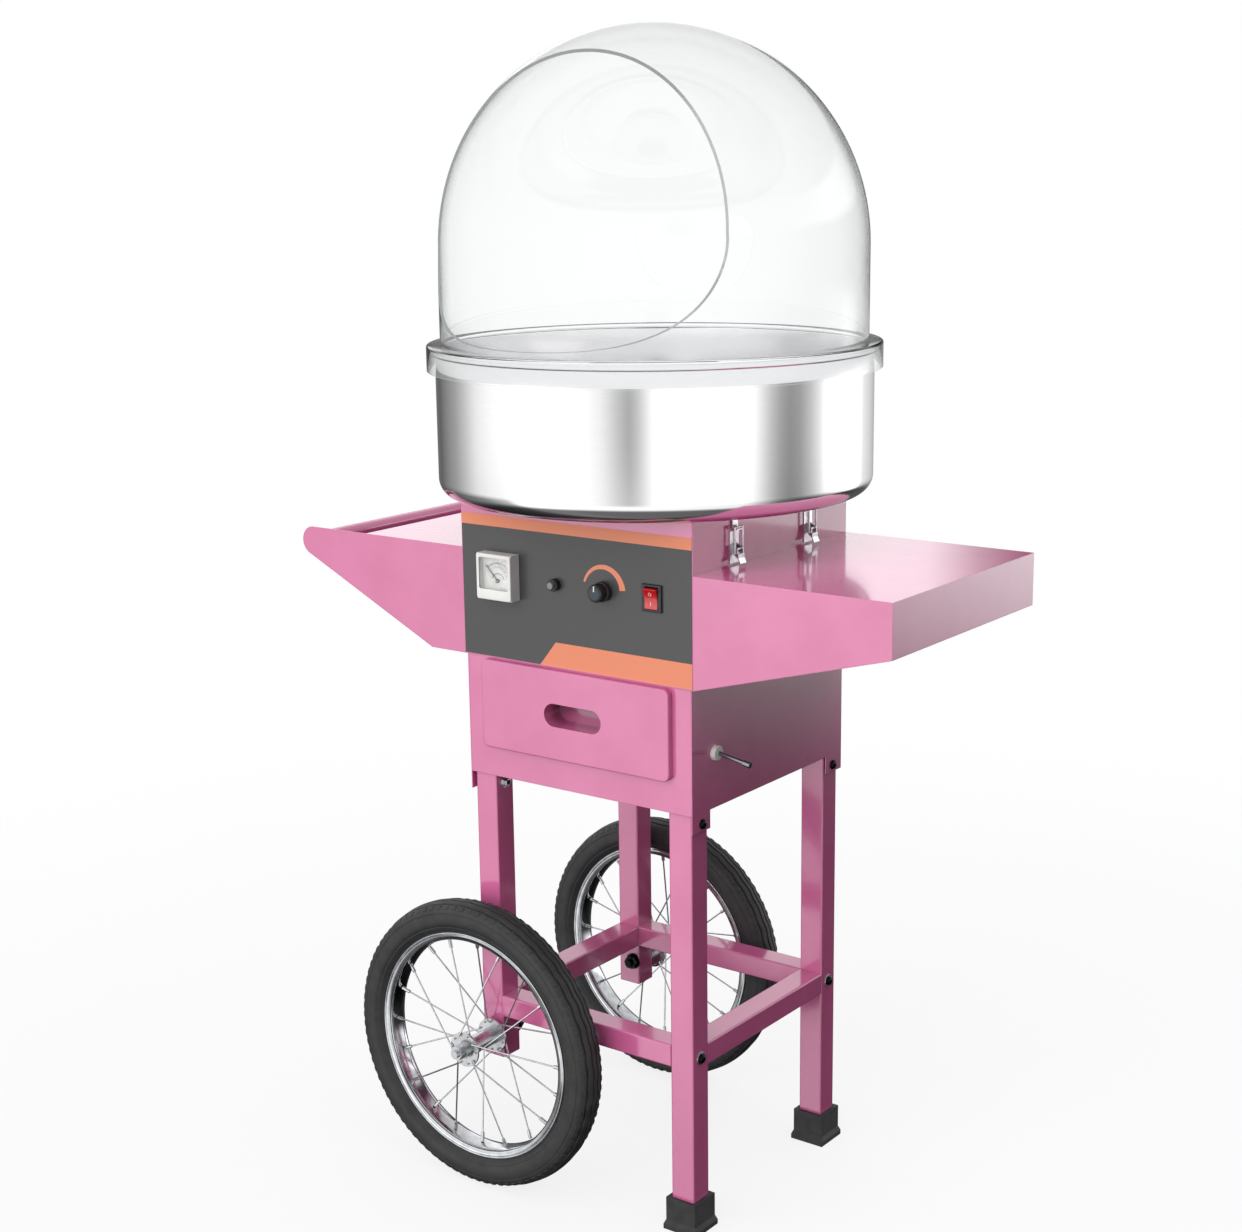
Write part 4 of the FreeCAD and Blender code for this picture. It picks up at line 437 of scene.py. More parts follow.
CART_X = 8.5
HALF_LOWER, SIDE_X = 165.0, 168.0
LEG_X, LEG_Y, LEG_HALF = 145.0, 143.5, 16.0
TAB_Z, BAR_Z, TRAY_Z, TRAY_Y = 511.0, 221.5, 789.3, 110.0
WASHER, NUT, SHEET = 1.2, 5.0, 1.2
head_outline = ([(0.0, 2.2), (1.9, 2.2), (2.0, 3.9)] + arc((3.0, 0.4), 3.2, 74, 20, 5)
                + [(6.0, 0.6), (6.0, 0.0), (0.0, 0.0)])
washer_outline = [(3.1, 0.0), (7.8, 0.0), (8.0, 0.2), (8.0, WASHER - 0.2), (7.8, WASHER), (3.1, WASHER)]
nut_outline = [(3.0, 0.0), (5.04, 0.0), (5.6, 0.7), (5.6, 4.3), (5.04, NUT), (3.0, NUT)]
end_outline = [(0.0, 0.0), (2.65, 0.0), (3.0, 0.5), (2.5, 1.0), (0.0, 1.0)]


def spot(x, y, z):
    """A point given in mm from the cabinet's middle, in metres."""
    return Vector(((x + CART_X) / 1000, y / 1000, z / 1000))


head_places, washer_places, nut_places, end_places = [], [], [], []
up = Vector((0, 0, 1))
for side in (-1, 1):
    way = Vector((side, 0, 0))
    leg_in, leg_out = side * (LEG_X - LEG_HALF), side * (LEG_X + LEG_HALF)
    for y in (-LEG_Y, LEG_Y):
        head_places.append((spot(side * HALF_LOWER, y, TAB_Z), way, up))
        washer_places.append((spot(leg_in, y, TAB_Z), -way, up))
        nut_places.append((spot(leg_in - side * WASHER, y, TAB_Z), -way, up))
        end_places.append((spot(leg_in - side * (WASHER + NUT), y, TAB_Z), -way, up))
        washer_places.append((spot(leg_out, y, BAR_Z), way, up))
        head_places.append((spot(leg_out + side * WASHER, y, BAR_Z), way, up))
    for y in (-TRAY_Y, 0.0, TRAY_Y):
        head_places.append((spot(side * (SIDE_X + SHEET), y, TRAY_Z), way, up))
        nut_places.append((spot(side * (SIDE_X - SHEET), y, TRAY_Z), -way, up))
for name, outline, steps, flat_over, places, material, slot in (
        ("bolt_heads", head_outline, 24, 35.0, head_places, black_oxide, "black_steel"),
        ("bolt_washers", washer_outline, 32, 35.0, washer_places, bright_zinc, "zinc_steel"),
        ("bolt_nuts", nut_outline, 6, 20.0, nut_places, bright_zinc, "zinc_steel"),
        ("bolt_ends", end_outline, 20, 35.0, end_places, black_oxide, "black_steel")):
    part = mesh_object(name + "_part", turned_shape(outline, (0, 0, 0), steps=steps), material, flat_over)
    piece = set_on_points(name, part, places, material)
    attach(piece, "cart")
    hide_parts("bolts_and_nuts")

# ---------------------------------------------------------------------------- wheels
# Two 14 inch spoked wheels.  The tyres are ribbed black rubber on hooked, chromed steel rims; chromed
# spokes with nickel nipples run to turned aluminium hubs, held on M10 axles by hexagon nuts.

# Tyre rubber: matt, a little greyer and duller where dust sticks, with a fine moulded skin.
tyre_rubber, shader = new_finish("ribbed_tyre_rubber", "#28282a", roughness=0.58, ior=1.52)
vary(shader, 22.0, 4.0, shades=("#232325", "#2f2f30"))
vary(shader, 9.0, rough=(0.5, 0.68))
vary(shader, 1.1, 3.0, relief_mm=0.04, strength=0.5)
# Chromed steel: a clear mirror, hazed a little in patches.
chromed_rim, shader = new_finish("chromed_rim_steel", "#c4c6c9", metallic=1.0, roughness=0.12)
vary(shader, 12.0, shades=("#bbbdc0", "#cfd1d4"))
vary(shader, 4.0, rough=(0.09, 0.18))
# Chromed wire: thin bright lines, lighter and darker along their length.
bright_wire, shader = new_finish("chromed_spoke_wire", "#cfd0d2", metallic=1.0, roughness=0.16)
vary(shader, 8.0, shades=("#c5c6c8", "#dadbdd"))
# Turned aluminium: soft silver with the lathe's fine marks round its axis.
turned_aluminium, shader = new_finish("turned_aluminium", "#c6c7c9", metallic=1.0, roughness=0.28)
vary(shader, 10.0, shades=("#bcbdbf", "#d0d1d3"))
vary(shader, 1.2, 2.0, (0.1, 1.0, 0.1), relief_mm=0.01, strength=0.5, rounded_mm=0.4)

AXLE_X, AXLE_Z, TRACK = -138.0 + CART_X, 184.5, 196.6
TREAD_WAVES, WAVE_MM = 40, 0.8
LUGS, LUG_R, LUG_Y = 90, 0.1786, 0.0174
# Half of the tyre's outside, from its foot to the middle of the tread: radius, distance from the middle,
# and whether the point snakes with the grooves.  Then its inside, from the middle to the foot.
half = [(136.5, 13.3, 0), (147.0, 13.3, 0), (149.5, 15.6, 0), (151.0, 17.4, 0), (152.2, 18.6, 0),
        (153.2, 19.1, 0), (154.2, 19.0, 0), (155.6, 20.3, 0), (158.5, 21.4, 0), (161.5, 21.9, 0),
        (165.0, 21.9, 0), (168.0, 21.6, 0), (170.0, 21.2, 0), (170.6, 20.5, 0), (171.4, 20.4, 0),
        (172.0, 20.8, 0), (174.5, 20.2, 0), (176.8, 19.0, 0), (178.8, 17.2, 0), (180.0, 15.4, 1),
        (180.6, 13.6, 1), (179.3, 13.0, 1), (179.3, 11.4, 1), (182.0, 10.8, 1), (183.2, 8.0, 1),
        (183.8, 5.4, 1), (182.0, 4.8, 1), (182.0, 3.2, 1), (184.1, 2.6, 1), (184.5, 0.0, 1)]
inner = [(180.5, 0.0, 0), (178.0, -9.0, 0), (172.0, -16.0, 0), (161.0, -17.9, 0), (150.0, -13.0, 0),
         (147.0, -9.3, 0), (136.5, -9.3, 0)]
section = half + [(r, -y, waves) for r, y, waves in reversed(half[:-1])] + inner[::-1]
section += [(r, -y, waves) for r, y, waves in inner[1:]]
rim_half = ([(146.0, 14.2)] + arc((144.9, 13.9), 1.1, 15, 165, 5)
            + [(143.6, 13.5), (142.0, 15.0), (139.0, 14.6), (136.8, 13.0), (135.6, 10.5), (135.1, 6.0)])
rim_section = rim_half + [(135.0, 0.0)] + [(r, -y) for r, y in reversed(rim_half)]
rim_section += [(145.2, -13.5), (138.0, -13.4), (136.6, -11.0), (136.4, 0.0), (136.6, 11.0), (138.0, 13.4),
                (145.2, 13.5)]


def tread_wave(number, r, along, angle):
    """The grooves snake round the tyre."""
    return r, along + (WAVE_MM * math.sin(TREAD_WAVES * angle) if section[number][2] else 0.0)


def shoulder_lug(name):
    """Tapered rubber lug, 7 x 6.4 mm at its foot, that stands 0.5 mm over z = 0."""
    corners = ((-1, -1), (1, -1), (1, 1), (-1, 1))
    loops = [[(x * half_x / 1000, y * half_y / 1000, z / 1000) for x, y in corners]
             for half_x, half_y, z in ((3.5, 3.2, -0.8), (2.6, 2.4, 0.5))]
    return mesh_object(name, skin(loops), tyre_rubber)


for place_name, y in (("front", -TRACK), ("rear", TRACK)):
    body = place_name + "_wheel"
    centre = (AXLE_X / 1000, y / 1000, AXLE_Z / 1000)
    tyre_shape = turned_shape([(r, a) for r, a, waves in section], centre, "Y", 320, tread_wave)
    tyre = mesh_object(place_name + "_tyre_ribbed", tyre_shape, tyre_rubber, 30.0)
    lug_places = []
    for k in range(LUGS):
        for flank in (-1, 1):
            angle = 2 * math.pi * (k + (0.5 if flank > 0 else 0.0)) / LUGS
            radial = Vector((math.cos(angle), 0, math.sin(angle)))
            outwards = (radial * 0.72 + Vector((0, flank * 0.69, 0))).normalized()
            around = Vector((-math.sin(angle), 0, math.cos(angle)))
            point = Vector(centre) + radial * LUG_R + Vector((0, flank * LUG_Y, 0))
            lug_places.append((point, outwards, around))
    lug = shoulder_lug(place_name + "_lug_part")
    lugs = set_on_points(place_name + "_tyre_lugs", lug, lug_places, tyre_rubber)
    rim_shape = turned_shape(rim_section, centre, "Y", 160)
    rim = mesh_object(place_name + "_rim_hooked", rim_shape, chromed_rim, 40.0)
    for piece, slot, node in ((tyre, "tyre_rubber", "_tyre"), (lugs, "tyre_rubber", "_tyre"),
                              (rim, "rim_steel", "_rim")):
        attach(piece, body)
        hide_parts(place_name + node)
    finish(bright_wire, place_name + "_spokes")
    finish(turned_aluminium, place_name + "_hub")

# Axles: bright plated steel, but the inner nuts are black oxide, so the colour changes along Y.
INNER_NUT = 128.0
plated_axle, shader = new_finish("axle_with_black_inner_nut", "#c9cbce", metallic=1.0, roughness=0.26)
tree = shader.id_data
where = add_node(tree, "ShaderNodeSeparateXYZ", (add_node(tree, "ShaderNodeTexCoord").outputs["Object"],))
inwards = add_node(tree, "ShaderNodeMath", (where.outputs["Y"],), operation="ABSOLUTE")
bright = add_node(tree, "ShaderNodeMath", (inwards, INNER_NUT / 1000), operation="GREATER_THAN")
vary(shader, value=bright, shades=("#1a1b1d", "#c9cbce"), stops=(0.0, 1.0))
vary(shader, 0.7, relief_mm=0.006, strength=0.5, rounded_mm=0.3)
finish(plated_axle, "wheel_axles")

# ---------------------------------------------------------------------------- printed panel
# A 0.5 mm polycarbonate sheet, printed on its back and stuck to the control panel: mid grey, with an orange
# band across its top, a bare orange field below, and an orange scale round the knob that widens clockwise.
KNOB_X, CONTROL_Z = 45.0, 773.0
BAND_LOW = 832.5
FIELD_TOP, FIELD_FOOT, FIELD_LEFT, FIELD_LEAN = 703.5, 674.0, -51.0 + CART_X, 0.81
SCALE_OUT, SCALE_WIDTH, SCALE_SWELL = 30.6, 2.8, 5.4
SCALE_FROM, SCALE_TO = math.radians(-74.0), math.radians(83.0)
# Printed polycarbonate: flat colour under a fine matt texture, with a satin shine and a faint grain.
printed_polycarbonate, shader = new_finish("printed_polycarbonate", "#434344", roughness=0.34, ior=1.5)
tree = shader.id_data
where = add_node(tree, "ShaderNodeSeparateXYZ", (add_node(tree, "ShaderNodeTexCoord").outputs["Object"],))
x, z = where.outputs["X"], where.outputs["Z"]


def all_of(*tests):
    """1 where every test (operation, value, limit) holds, else 0."""
    held = [add_node(tree, "ShaderNodeMath", (value, limit), operation=kind) for kind, value, limit in tests]
    result = held[0]
    for other in held[1:]:
        result = add_node(tree, "ShaderNodeMath", (result, other), operation="MULTIPLY")
    return result


in_band = all_of(("GREATER_THAN", z, BAND_LOW / 1000))
field_start = (FIELD_LEFT - FIELD_LEAN * FIELD_FOOT) / 1000
field_edge = add_node(tree, "ShaderNodeMath", (z, FIELD_LEAN, field_start), operation="MULTIPLY_ADD")
in_field = all_of(("LESS_THAN", z, FIELD_TOP / 1000), ("GREATER_THAN", x, field_edge))
dx = add_node(tree, "ShaderNodeMath", (x, (KNOB_X + CART_X) / 1000), operation="SUBTRACT")
dz = add_node(tree, "ShaderNodeMath", (z, CONTROL_Z / 1000), operation="SUBTRACT")
squares = [add_node(tree, "ShaderNodeMath", (d, d), operation="MULTIPLY") for d in (dx, dz)]
from_knob = add_node(tree, "ShaderNodeMath", squares, operation="ADD")
from_knob = add_node(tree, "ShaderNodeMath", (from_knob,), operation="SQRT")
turn = add_node(tree, "ShaderNodeMath", (dx, dz), operation="ARCTAN2")
sweep = add_node(tree, "ShaderNodeMapRange", {"Value": turn, "From Min": SCALE_FROM, "From Max": SCALE_TO})
inner_edge = add_node(tree, "ShaderNodeMath", (sweep, -SCALE_SWELL / 1000, (SCALE_OUT - SCALE_WIDTH) / 1000),
                      operation="MULTIPLY_ADD")
in_scale = all_of(("LESS_THAN", from_knob, SCALE_OUT / 1000), ("GREATER_THAN", from_knob, inner_edge),
                  ("GREATER_THAN", turn, SCALE_FROM), ("LESS_THAN", turn, SCALE_TO))
orange = add_node(tree, "ShaderNodeMath", (in_band, in_field), operation="MAXIMUM")
orange = add_node(tree, "ShaderNodeMath", (orange, in_scale), operation="MAXIMUM")
vary(shader, 1.2, 3.0, shades=("#414142", "#464647"), stops=(0.3, 0.7))
printed = shader.inputs["Base Color"]
print_colour = add_node(tree, "ShaderNodeMix", {0: orange, 6: printed.links[0].from_socket,
                                                7: linear("#e28663")}, data_type="RGBA")
tree.links.new(print_colour.outputs[2], printed)
vary(shader, 0.5, 2.0, relief_mm=0.006, strength=0.5)
finish(printed_polycarbonate, "panel_overlay")

# ---------------------------------------------------------------------------- panel meter
# A moving-coil voltmeter in a white ABS case behind a clear window that snaps on.  Its dial is a white card
# with a printed arc, divisions and plain numbers; the pointer is blackened aluminium.

# Moulded ABS: warm white with a soft shine and a very fine moulded grain.
white_abs, shader = new_finish("white_moulded_abs", "#e6e6e3", roughness=0.3, ior=1.54)
vary(shader, 30.0, shades=("#e2e2df", "#ebebe8"))
vary(shader, 0.7, 2.0, relief_mm=0.01, strength=0.4, rounded_mm=0.5)
# Clear polystyrene: all but unseen in front of the card, with a thin glint of its own.
clear_styrene, shader = new_finish("clear_polystyrene", "#fcfdfd", roughness=0.03, ior=1.45,
                                   transmission_weight=1.0, alpha=0.25)
# Blackened aluminium: a dead black pointer with a slight metal edge.
blackened, shader = new_finish("blackened_aluminium", "#151516", metallic=0.6, roughness=0.4)
vary(shader, 3.0, shades=("#111112", "#1c1c1d"))
# Printed card: paper white, quite matt, with the faintest mottle.
dial_card, shader = new_finish("printed_dial_card", "#f2f1ee", roughness=0.5, ior=1.45)
vary(shader, 5.0, 3.0, shades=("#efeeeb", "#f6f5f3"))
# Dial ink: flat grey, slightly uneven.
dial_ink, shader = new_finish("grey_dial_ink", "#7b7d82", roughness=0.45, ior=1.5)
vary(shader, 1.0, shades=("#75777c", "#84868b"))

METER_X, METER_Z, METER_HALF_X, METER_HALF_Z = -106.0, 775.0, 26.0, 27.5
METER_FACE, PANE, PANE_SET_BACK = -182.0, 2.0, 0.6
CORNER_R, METER_ROUND = 3.0, 1.2
WINDOW_Z, WINDOW_HALF_X, WINDOW_HALF_Z, WINDOW_R = 779.0, 22.0, 19.0, 2.5
CARD_HALF_X, CARD_HALF_Z, CARD_R, CARD_Y, CARD_THICK = 23.2, 24.6, 2.0, -172.3, 0.4
PIVOT_Z = METER_Z - METER_HALF_Z + 22.0
ARC_R, FIGURE_R, HUB_R = 20.8, 16.8, 8.2


def rounded_box(middle_x, middle_z, half_x, half_z, radius):
    """Corner points (x, z) of a plate with round corners."""
    points = []
    for k, (side, rise) in enumerate(((1, 1), (-1, 1), (-1, -1), (1, -1))):
        corner = (middle_x + side * (half_x - radius), middle_z + rise * (half_z - radius))
        points += arc(corner, radius, 90 * k, 90 * k + 90, 6)
    return points


def at_depth(points, y):
    """Points (x, z) in mm from the cabinet's middle, set at y, in metres."""
    return [spot(x, y, z) for x, z in points]


def flat_piece(name, outlines, y_front, thick, material):
    """Plates with (x, z) outlines in mm from the cabinet's middle, from y_front back by thick."""
    shape = bmesh.new()
    for points in outlines:
        skin([at_depth(points, y_front), at_depth(points, y_front + thick)], shape=shape)
    return mesh_object(name, shape, material)


opening = rounded_box(METER_X, WINDOW_Z, WINDOW_HALF_X, WINDOW_HALF_Z, WINDOW_R)
bezel_loops = [at_depth(opening, METER_FACE + PANE), at_depth(opening, METER_FACE + 0.3)]
for k in range(5):
    inset = METER_ROUND * (1 - math.sin(math.radians(22.5 * k)))
    depth = METER_ROUND * (1 - math.cos(math.radians(22.5 * k)))
    around = rounded_box(METER_X, METER_Z, METER_HALF_X - inset, METER_HALF_Z - inset, CORNER_R - inset)
    bezel_loops.append(at_depth(around, METER_FACE + depth))
bezel_loops.append(at_depth(around, METER_FACE + PANE))
meter_bezel = mesh_object("meter_bezel", skin(bezel_loops, ring=True), white_abs)
meter_pane = flat_piece("meter_pane", [opening], METER_FACE + PANE_SET_BACK, PANE - PANE_SET_BACK,
                        clear_styrene)
for piece, slot in ((meter_bezel, "white_plastic"), (meter_pane, "clear_plastic")):
    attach(piece, "cart")
    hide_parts("meter_window")
card_outline = rounded_box(METER_X, METER_Z, CARD_HALF_X, CARD_HALF_Z, CARD_R)
meter_card = flat_piece("meter_card", [card_outline], CARD_Y, CARD_THICK, dial_card)


def dial_strip(start, end, inner_r, outer_r, steps):
    """Outline of a strip round the pointer's pivot; angles are clockwise from straight up."""
    far = arc((METER_X, PIVOT_Z), outer_r, 90 - start, 90 - end, steps)
    return far + arc((METER_X, PIVOT_Z), inner_r, 90 - end, 90 - start, steps)


marks = [dial_strip(-45, 45, ARC_R - 0.6, ARC_R, 24)]
for k in range(31):
    angle = 3 * k - 45
    length = 3.6 if k % 10 == 0 else 2.6 if k % 5 == 0 else 1.6
    width = 0.9 if k % 5 == 0 else 0.5
    marks.append(dial_strip(angle - width, angle + width, ARC_R, ARC_R + length, 1))
marks.append(dial_strip(-78, 78, HUB_R, HUB_R + 1.2, 20))
meter_marks = flat_piece("meter_marks", marks, CARD_Y - 0.12, 0.1, dial_ink)
shape = bmesh.new()
for number in range(0, 31, 5):
    letter = bpy.data.curves.new("figure", "FONT")
    letter.body = str(number)
    letter.size = 0.0037
    letter.align_x = "CENTER"
    letter.align_y = "CENTER"
    letter.extrude = 0.00005
    held = bpy.data.objects.new("figure", letter)
    bpy.context.scene.collection.objects.link(held)
    graph = bpy.context.evaluated_depsgraph_get()
    mesh = bpy.data.meshes.new_from_object(held.evaluated_get(graph))
    angle = math.radians(3 * number - 45)
    place = spot(METER_X + FIGURE_R * math.sin(angle), CARD_Y - 0.1, PIVOT_Z + FIGURE_R * math.cos(angle))
    mesh.transform(Matrix.Translation(place) @ Matrix.Rotation(math.radians(90), 4, "X"))
    shape.from_mesh(mesh)
    bpy.data.objects.remove(held)
meter_figures = mesh_object("meter_figures", shape, dial_ink)
for piece in (meter_card, meter_marks, meter_figures):
    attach(piece, "cart")
finish(white_abs, "meter_case")
finish(blackened, "meter_needle")

# ---------------------------------------------------------------------------- breaker, heat knob and switch
# Moulded black nylon controls: a threaded breaker collar with a pale push button, a ribbed knob with an
# aluminium cap, and a snap-in switch with a red polycarbonate rocker.

# Moulded nylon: near black with a dull shine and a fine moulded texture.
black_nylon, shader = new_finish("moulded_black_nylon", "#1b1b1e", roughness=0.36, ior=1.53)
vary(shader, 8.0, shades=("#17171a", "#222226"))
vary(shader, 0.5, 2.0, relief_mm=0.012, strength=0.5, rounded_mm=0.4)
finish(black_nylon, "breaker_body", "switch_body", "cable_gland", "brush_block")
# Pale nylon: the same plastic in mid grey, so its texture shows more.
pale_nylon, shader = new_finish("pale_grey_nylon", "#808180", roughness=0.34, ior=1.53)
vary(shader, 3.0, shades=("#7b7c7a", "#8a8b89"))
vary(shader, 0.5, 2.0, relief_mm=0.01, strength=0.4, rounded_mm=0.4)
finish(pale_nylon, "reset_button")
finish(bright_zinc, "heat_control")

KNOB_BASE, KNOB_FRONT = -168.3, -183.8
KNOB_RIBS, RIB_RING_R = 30, 0.0099
knob_centre = spot(KNOB_X, 0.0, CONTROL_Z)
knob_section = ([(0.0, KNOB_BASE), (11.8, KNOB_BASE), (11.8, KNOB_BASE - 3.4), (11.5, KNOB_BASE - 3.9),
                 (10.4, KNOB_BASE - 4.2), (9.9, KNOB_FRONT + 3.0)]
                + arc((8.3, KNOB_FRONT + 1.6), 1.5, 0, -90, 5)
                + [(7.6, KNOB_FRONT + 0.1), (0.0, KNOB_FRONT + 0.1)])
knob_body = mesh_object("knob_body", turned_shape(knob_section, knob_centre, "Y", 72), black_nylon, 40.0)
shape = bmesh.new()
bmesh.ops.create_cone(shape, cap_ends=True, segments=8, radius1=0.0009, radius2=0.0007, depth=0.0098)
rib_part = mesh_object("knob_rib_part", shape, black_nylon)
rib_places = []
for k in range(KNOB_RIBS):
    angle = 2 * math.pi * k / KNOB_RIBS
    radial = Vector((math.cos(angle), 0, math.sin(angle)))
    rib_middle = knob_centre + radial * RIB_RING_R + Vector((0, (KNOB_BASE - 9.1) / 1000, 0))
    rib_places.append((rib_middle, Vector((0, -1, 0)), radial))
knob_ribs = set_on_points("knob_ribs", rib_part, rib_places, black_nylon)


def off_axis(tree, centre, across):
    """A surface point from centre, the same across the axis only, and how far that is."""
    place = add_node(tree, "ShaderNodeTexCoord").outputs["Object"]
    moved = add_node(tree, "ShaderNodeVectorMath", (place, tuple(centre)), operation="SUBTRACT")
    flat = add_node(tree, "ShaderNodeVectorMath", (moved, across), operation="MULTIPLY")
    return moved, flat, add_node(tree, "ShaderNodeVectorMath", (flat,), operation="LENGTH").outputs["Value"]


def lathe_rings(tree, out, pitch_mm):
    """Waves from -1 to 1 outwards from an axis."""
    waves = add_node(tree, "ShaderNodeMath", (out, 2 * math.pi / (pitch_mm / 1000)), operation="MULTIPLY")
    return add_node(tree, "ShaderNodeMath", (waves,), operation="SINE")


# Smoked aluminium: a dark, dull metal face that shows its 0.4 mm turning rings as a soft fan of light.
smoked_cap, shader = new_finish("smoked_aluminium_cap", "#454c50", metallic=1.0, roughness=0.32)
tree = shader.id_data
moved, flat, out = off_axis(tree, knob_centre, (1, 0, 1))
vary(shader, value=lathe_rings(tree, out, 0.4), relief_mm=0.004, strength=0.5)
cap_section = [(0.0, KNOB_FRONT + 0.3), (7.4, KNOB_FRONT + 0.3), (7.4, KNOB_FRONT - 0.1),
               (7.1, KNOB_FRONT - 0.4), (0.0, KNOB_FRONT - 0.5)]
knob_cap = mesh_object("knob_cap", turned_shape(cap_section, knob_centre, "Y", 72), smoked_cap, 40.0)
mark_outline = rounded_box(KNOB_X, CONTROL_Z + 5.6, 0.8, 3.4, 0.7)
knob_mark = flat_piece("knob_mark", [mark_outline], KNOB_FRONT - 0.7, 0.8, white_abs)
for piece, slot in ((knob_body, "black_plastic"), (knob_ribs, "black_plastic"), (knob_cap, "cast_aluminium"),
                    (knob_mark, "white_plastic")):
    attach(piece, "heat_knob")
    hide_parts("temp_knob")

# Red polycarbonate: a clear signal red with a wet gloss, a touch deeper in places.
red_polycarbonate, shader = new_finish("red_polycarbonate", "#c3121b", roughness=0.16, ior=1.58,
                                       coat_weight=0.4, coat_roughness=0.05)
vary(shader, 6.0, shades=("#b80f18", "#cc1620"))
ROCKER_X, ROCKER_Y, ROCKER_HALF = 113.5, -166.0, 9.0
TILT = math.radians(10)
SUNK, PROUD = -0.05, 0.06
RING_UP, RING_IN, RING_OUT, STROKE_HALF = 5.6, 1.5, 2.2, 0.4
# The rocker's side, as (y, z) from its pin: first its dished face from the top down, then its back.
face = [(-5.0, 12.0), (-4.3, 9.0), (-3.7, 6.0), (-3.25, 3.0), (-3.1, 0.0), (-3.25, -3.0), (-3.7, -6.0),
        (-4.3, -9.0), (-5.0, -12.0)]
profile = face + [(0.0, -12.0), (4.0, -6.0), (4.0, 6.0), (0.0, 12.0)]


def tilted(across, y, z):
    """A point of the rocker, in mm from its pin, turned with it."""
    return spot(ROCKER_X + across, ROCKER_Y + y * math.cos(TILT) - z * math.sin(TILT),
                CONTROL_Z + y * math.sin(TILT) + z * math.cos(TILT))


def on_rocker(across, along, lift):
    """A point on the rocker's face: mm across it, mm up it, and mm proud of it."""
    for (y_high, z_high), (y_low, z_low) in zip(face, face[1:]):
        if z_low <= along <= z_high:
            y = y_low + (y_high - y_low) * (along - z_low) / (z_high - z_low) - lift
    return tilted(across, y, along)


rocker_loops = [[tilted(x, y, z) for y, z in profile] for x in (-ROCKER_HALF, ROCKER_HALF)]
rocker_cap = mesh_object("rocker_cap", skin(rocker_loops), red_polycarbonate, 40.0)
edge = rocker_cap.modifiers.new("moulded_edge", "BEVEL")
edge.width = 0.0006
edge.segments = 3
edge.limit_method = "ANGLE"
edge.angle_limit = math.radians(40)
baked(rocker_cap)
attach(rocker_cap, "rocker")
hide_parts("power_rocker")

ring_loops = [[on_rocker(x, z, lift) for x, z in arc((0.0, RING_UP), radius, 0, 360, 32)[:-1]]
              for radius, lift in ((RING_IN, SUNK), (RING_IN, PROUD), (RING_OUT, PROUD), (RING_OUT, SUNK))]
stroke_corners = ((-STROKE_HALF, SUNK), (-STROKE_HALF, PROUD), (STROKE_HALF, PROUD), (STROKE_HALF, SUNK))
stroke_loops = [[on_rocker(x, z, lift) for x, lift in stroke_corners] for z in (-7.8, -6.0, -3.3)]
shape = skin(ring_loops, ring=True)
rocker_marks = mesh_object("rocker_marks", skin(stroke_loops, shape=shape), white_abs)
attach(rocker_marks, "rocker")

# ---------------------------------------------------------------------------- latches and earth stud
# Pressed, bright-zinc toggle latches: base, pin, lever and wire bail on each side, which pull down the
# bent strikes under the bowl.  The terminal stud stands in a white insulating boss.
finish(bright_zinc, "latch_bases", "bowl_strikes")
for end in ("front", "rear"):
    for side in ("left", "right"):
        finish(bright_zinc, "latch_lever_" + end + "_" + side, "latch_bail_" + end + "_" + side)
# Boss and stud: pale moulded plastic up to the boss's end, plated steel beyond it.
BOSS_END = 171.4 + CART_X
stud_and_boss, shader = new_finish("boss_and_plated_stud", "#d8d8d6", roughness=0.26)
tree = shader.id_data
where = add_node(tree, "ShaderNodeSeparateXYZ", (add_node(tree, "ShaderNodeTexCoord").outputs["Object"],))
on_boss = add_node(tree, "ShaderNodeMath", (where.outputs["X"], BOSS_END / 1000), operation="LESS_THAN")
metal = add_node(tree, "ShaderNodeMath", (1.0, on_boss), operation="SUBTRACT")
tree.links.new(metal.outputs[0], shader.inputs["Metallic"])
mixed = add_node(tree, "ShaderNodeMix", {0: on_boss, 6: linear("#8d9094"), 7: linear("#e4e4e1")},
                 data_type="RGBA")
tree.links.new(mixed.outputs[2], shader.inputs["Base Color"])
vary(shader, 1.0, relief_mm=0.01, strength=0.4, rounded_mm=0.3)
finish(stud_and_boss, "earth_stud")

# ---------------------------------------------------------------------------- drive
# A canned motor hangs from a plated steel plate on four stand-offs.  Its ground shaft carries the rotor
# and two copper-coloured slip rings up to the spinner head.

# Satin enamel: black with a soft shine and a slight spray texture.
satin_black, shader = new_finish("satin_black_enamel", "#1f1f21", roughness=0.45, ior=1.5)
vary(shader, 12.0, shades=("#1a1a1c", "#262629"))
vary(shader, 1.5, relief_mm=0.02, strength=0.5, rounded_mm=0.8)
# Ground steel: clean grey metal, streaked along its length, with fine marks round it.
ground_steel, shader = new_finish("ground_steel", "#a9abad", metallic=1.0, roughness=0.26)
vary(shader, 4.0, 2.0, (1.0, 1.0, 0.15), shades=("#9fa1a3", "#b4b6b8"))
vary(shader, 0.5, 2.0, (0.2, 0.2, 1.0), relief_mm=0.006, strength=0.5, rounded_mm=0.3)
finish(satin_black, "motor_housing")
finish(bright_zinc, "motor_mount")
finish(ground_steel, "drive_shaft")

# ---------------------------------------------------------------------------- spinner head
# Cast floor and spun cap of aluminium, screwed together over a slotted stainless band, with the heater ring
# inside.

# Heated alloy: dull metal, browned in soft patches.
heat_browned, shader = new_finish("heat_browned_alloy", "#7b6a5c", metallic=1.0, roughness=0.42)
vary(shader, 7.0, 3.0, shades=("#6a5a50", "#8e7c6a"))
vary(shader, 0.8, relief_mm=0.01, strength=0.5)
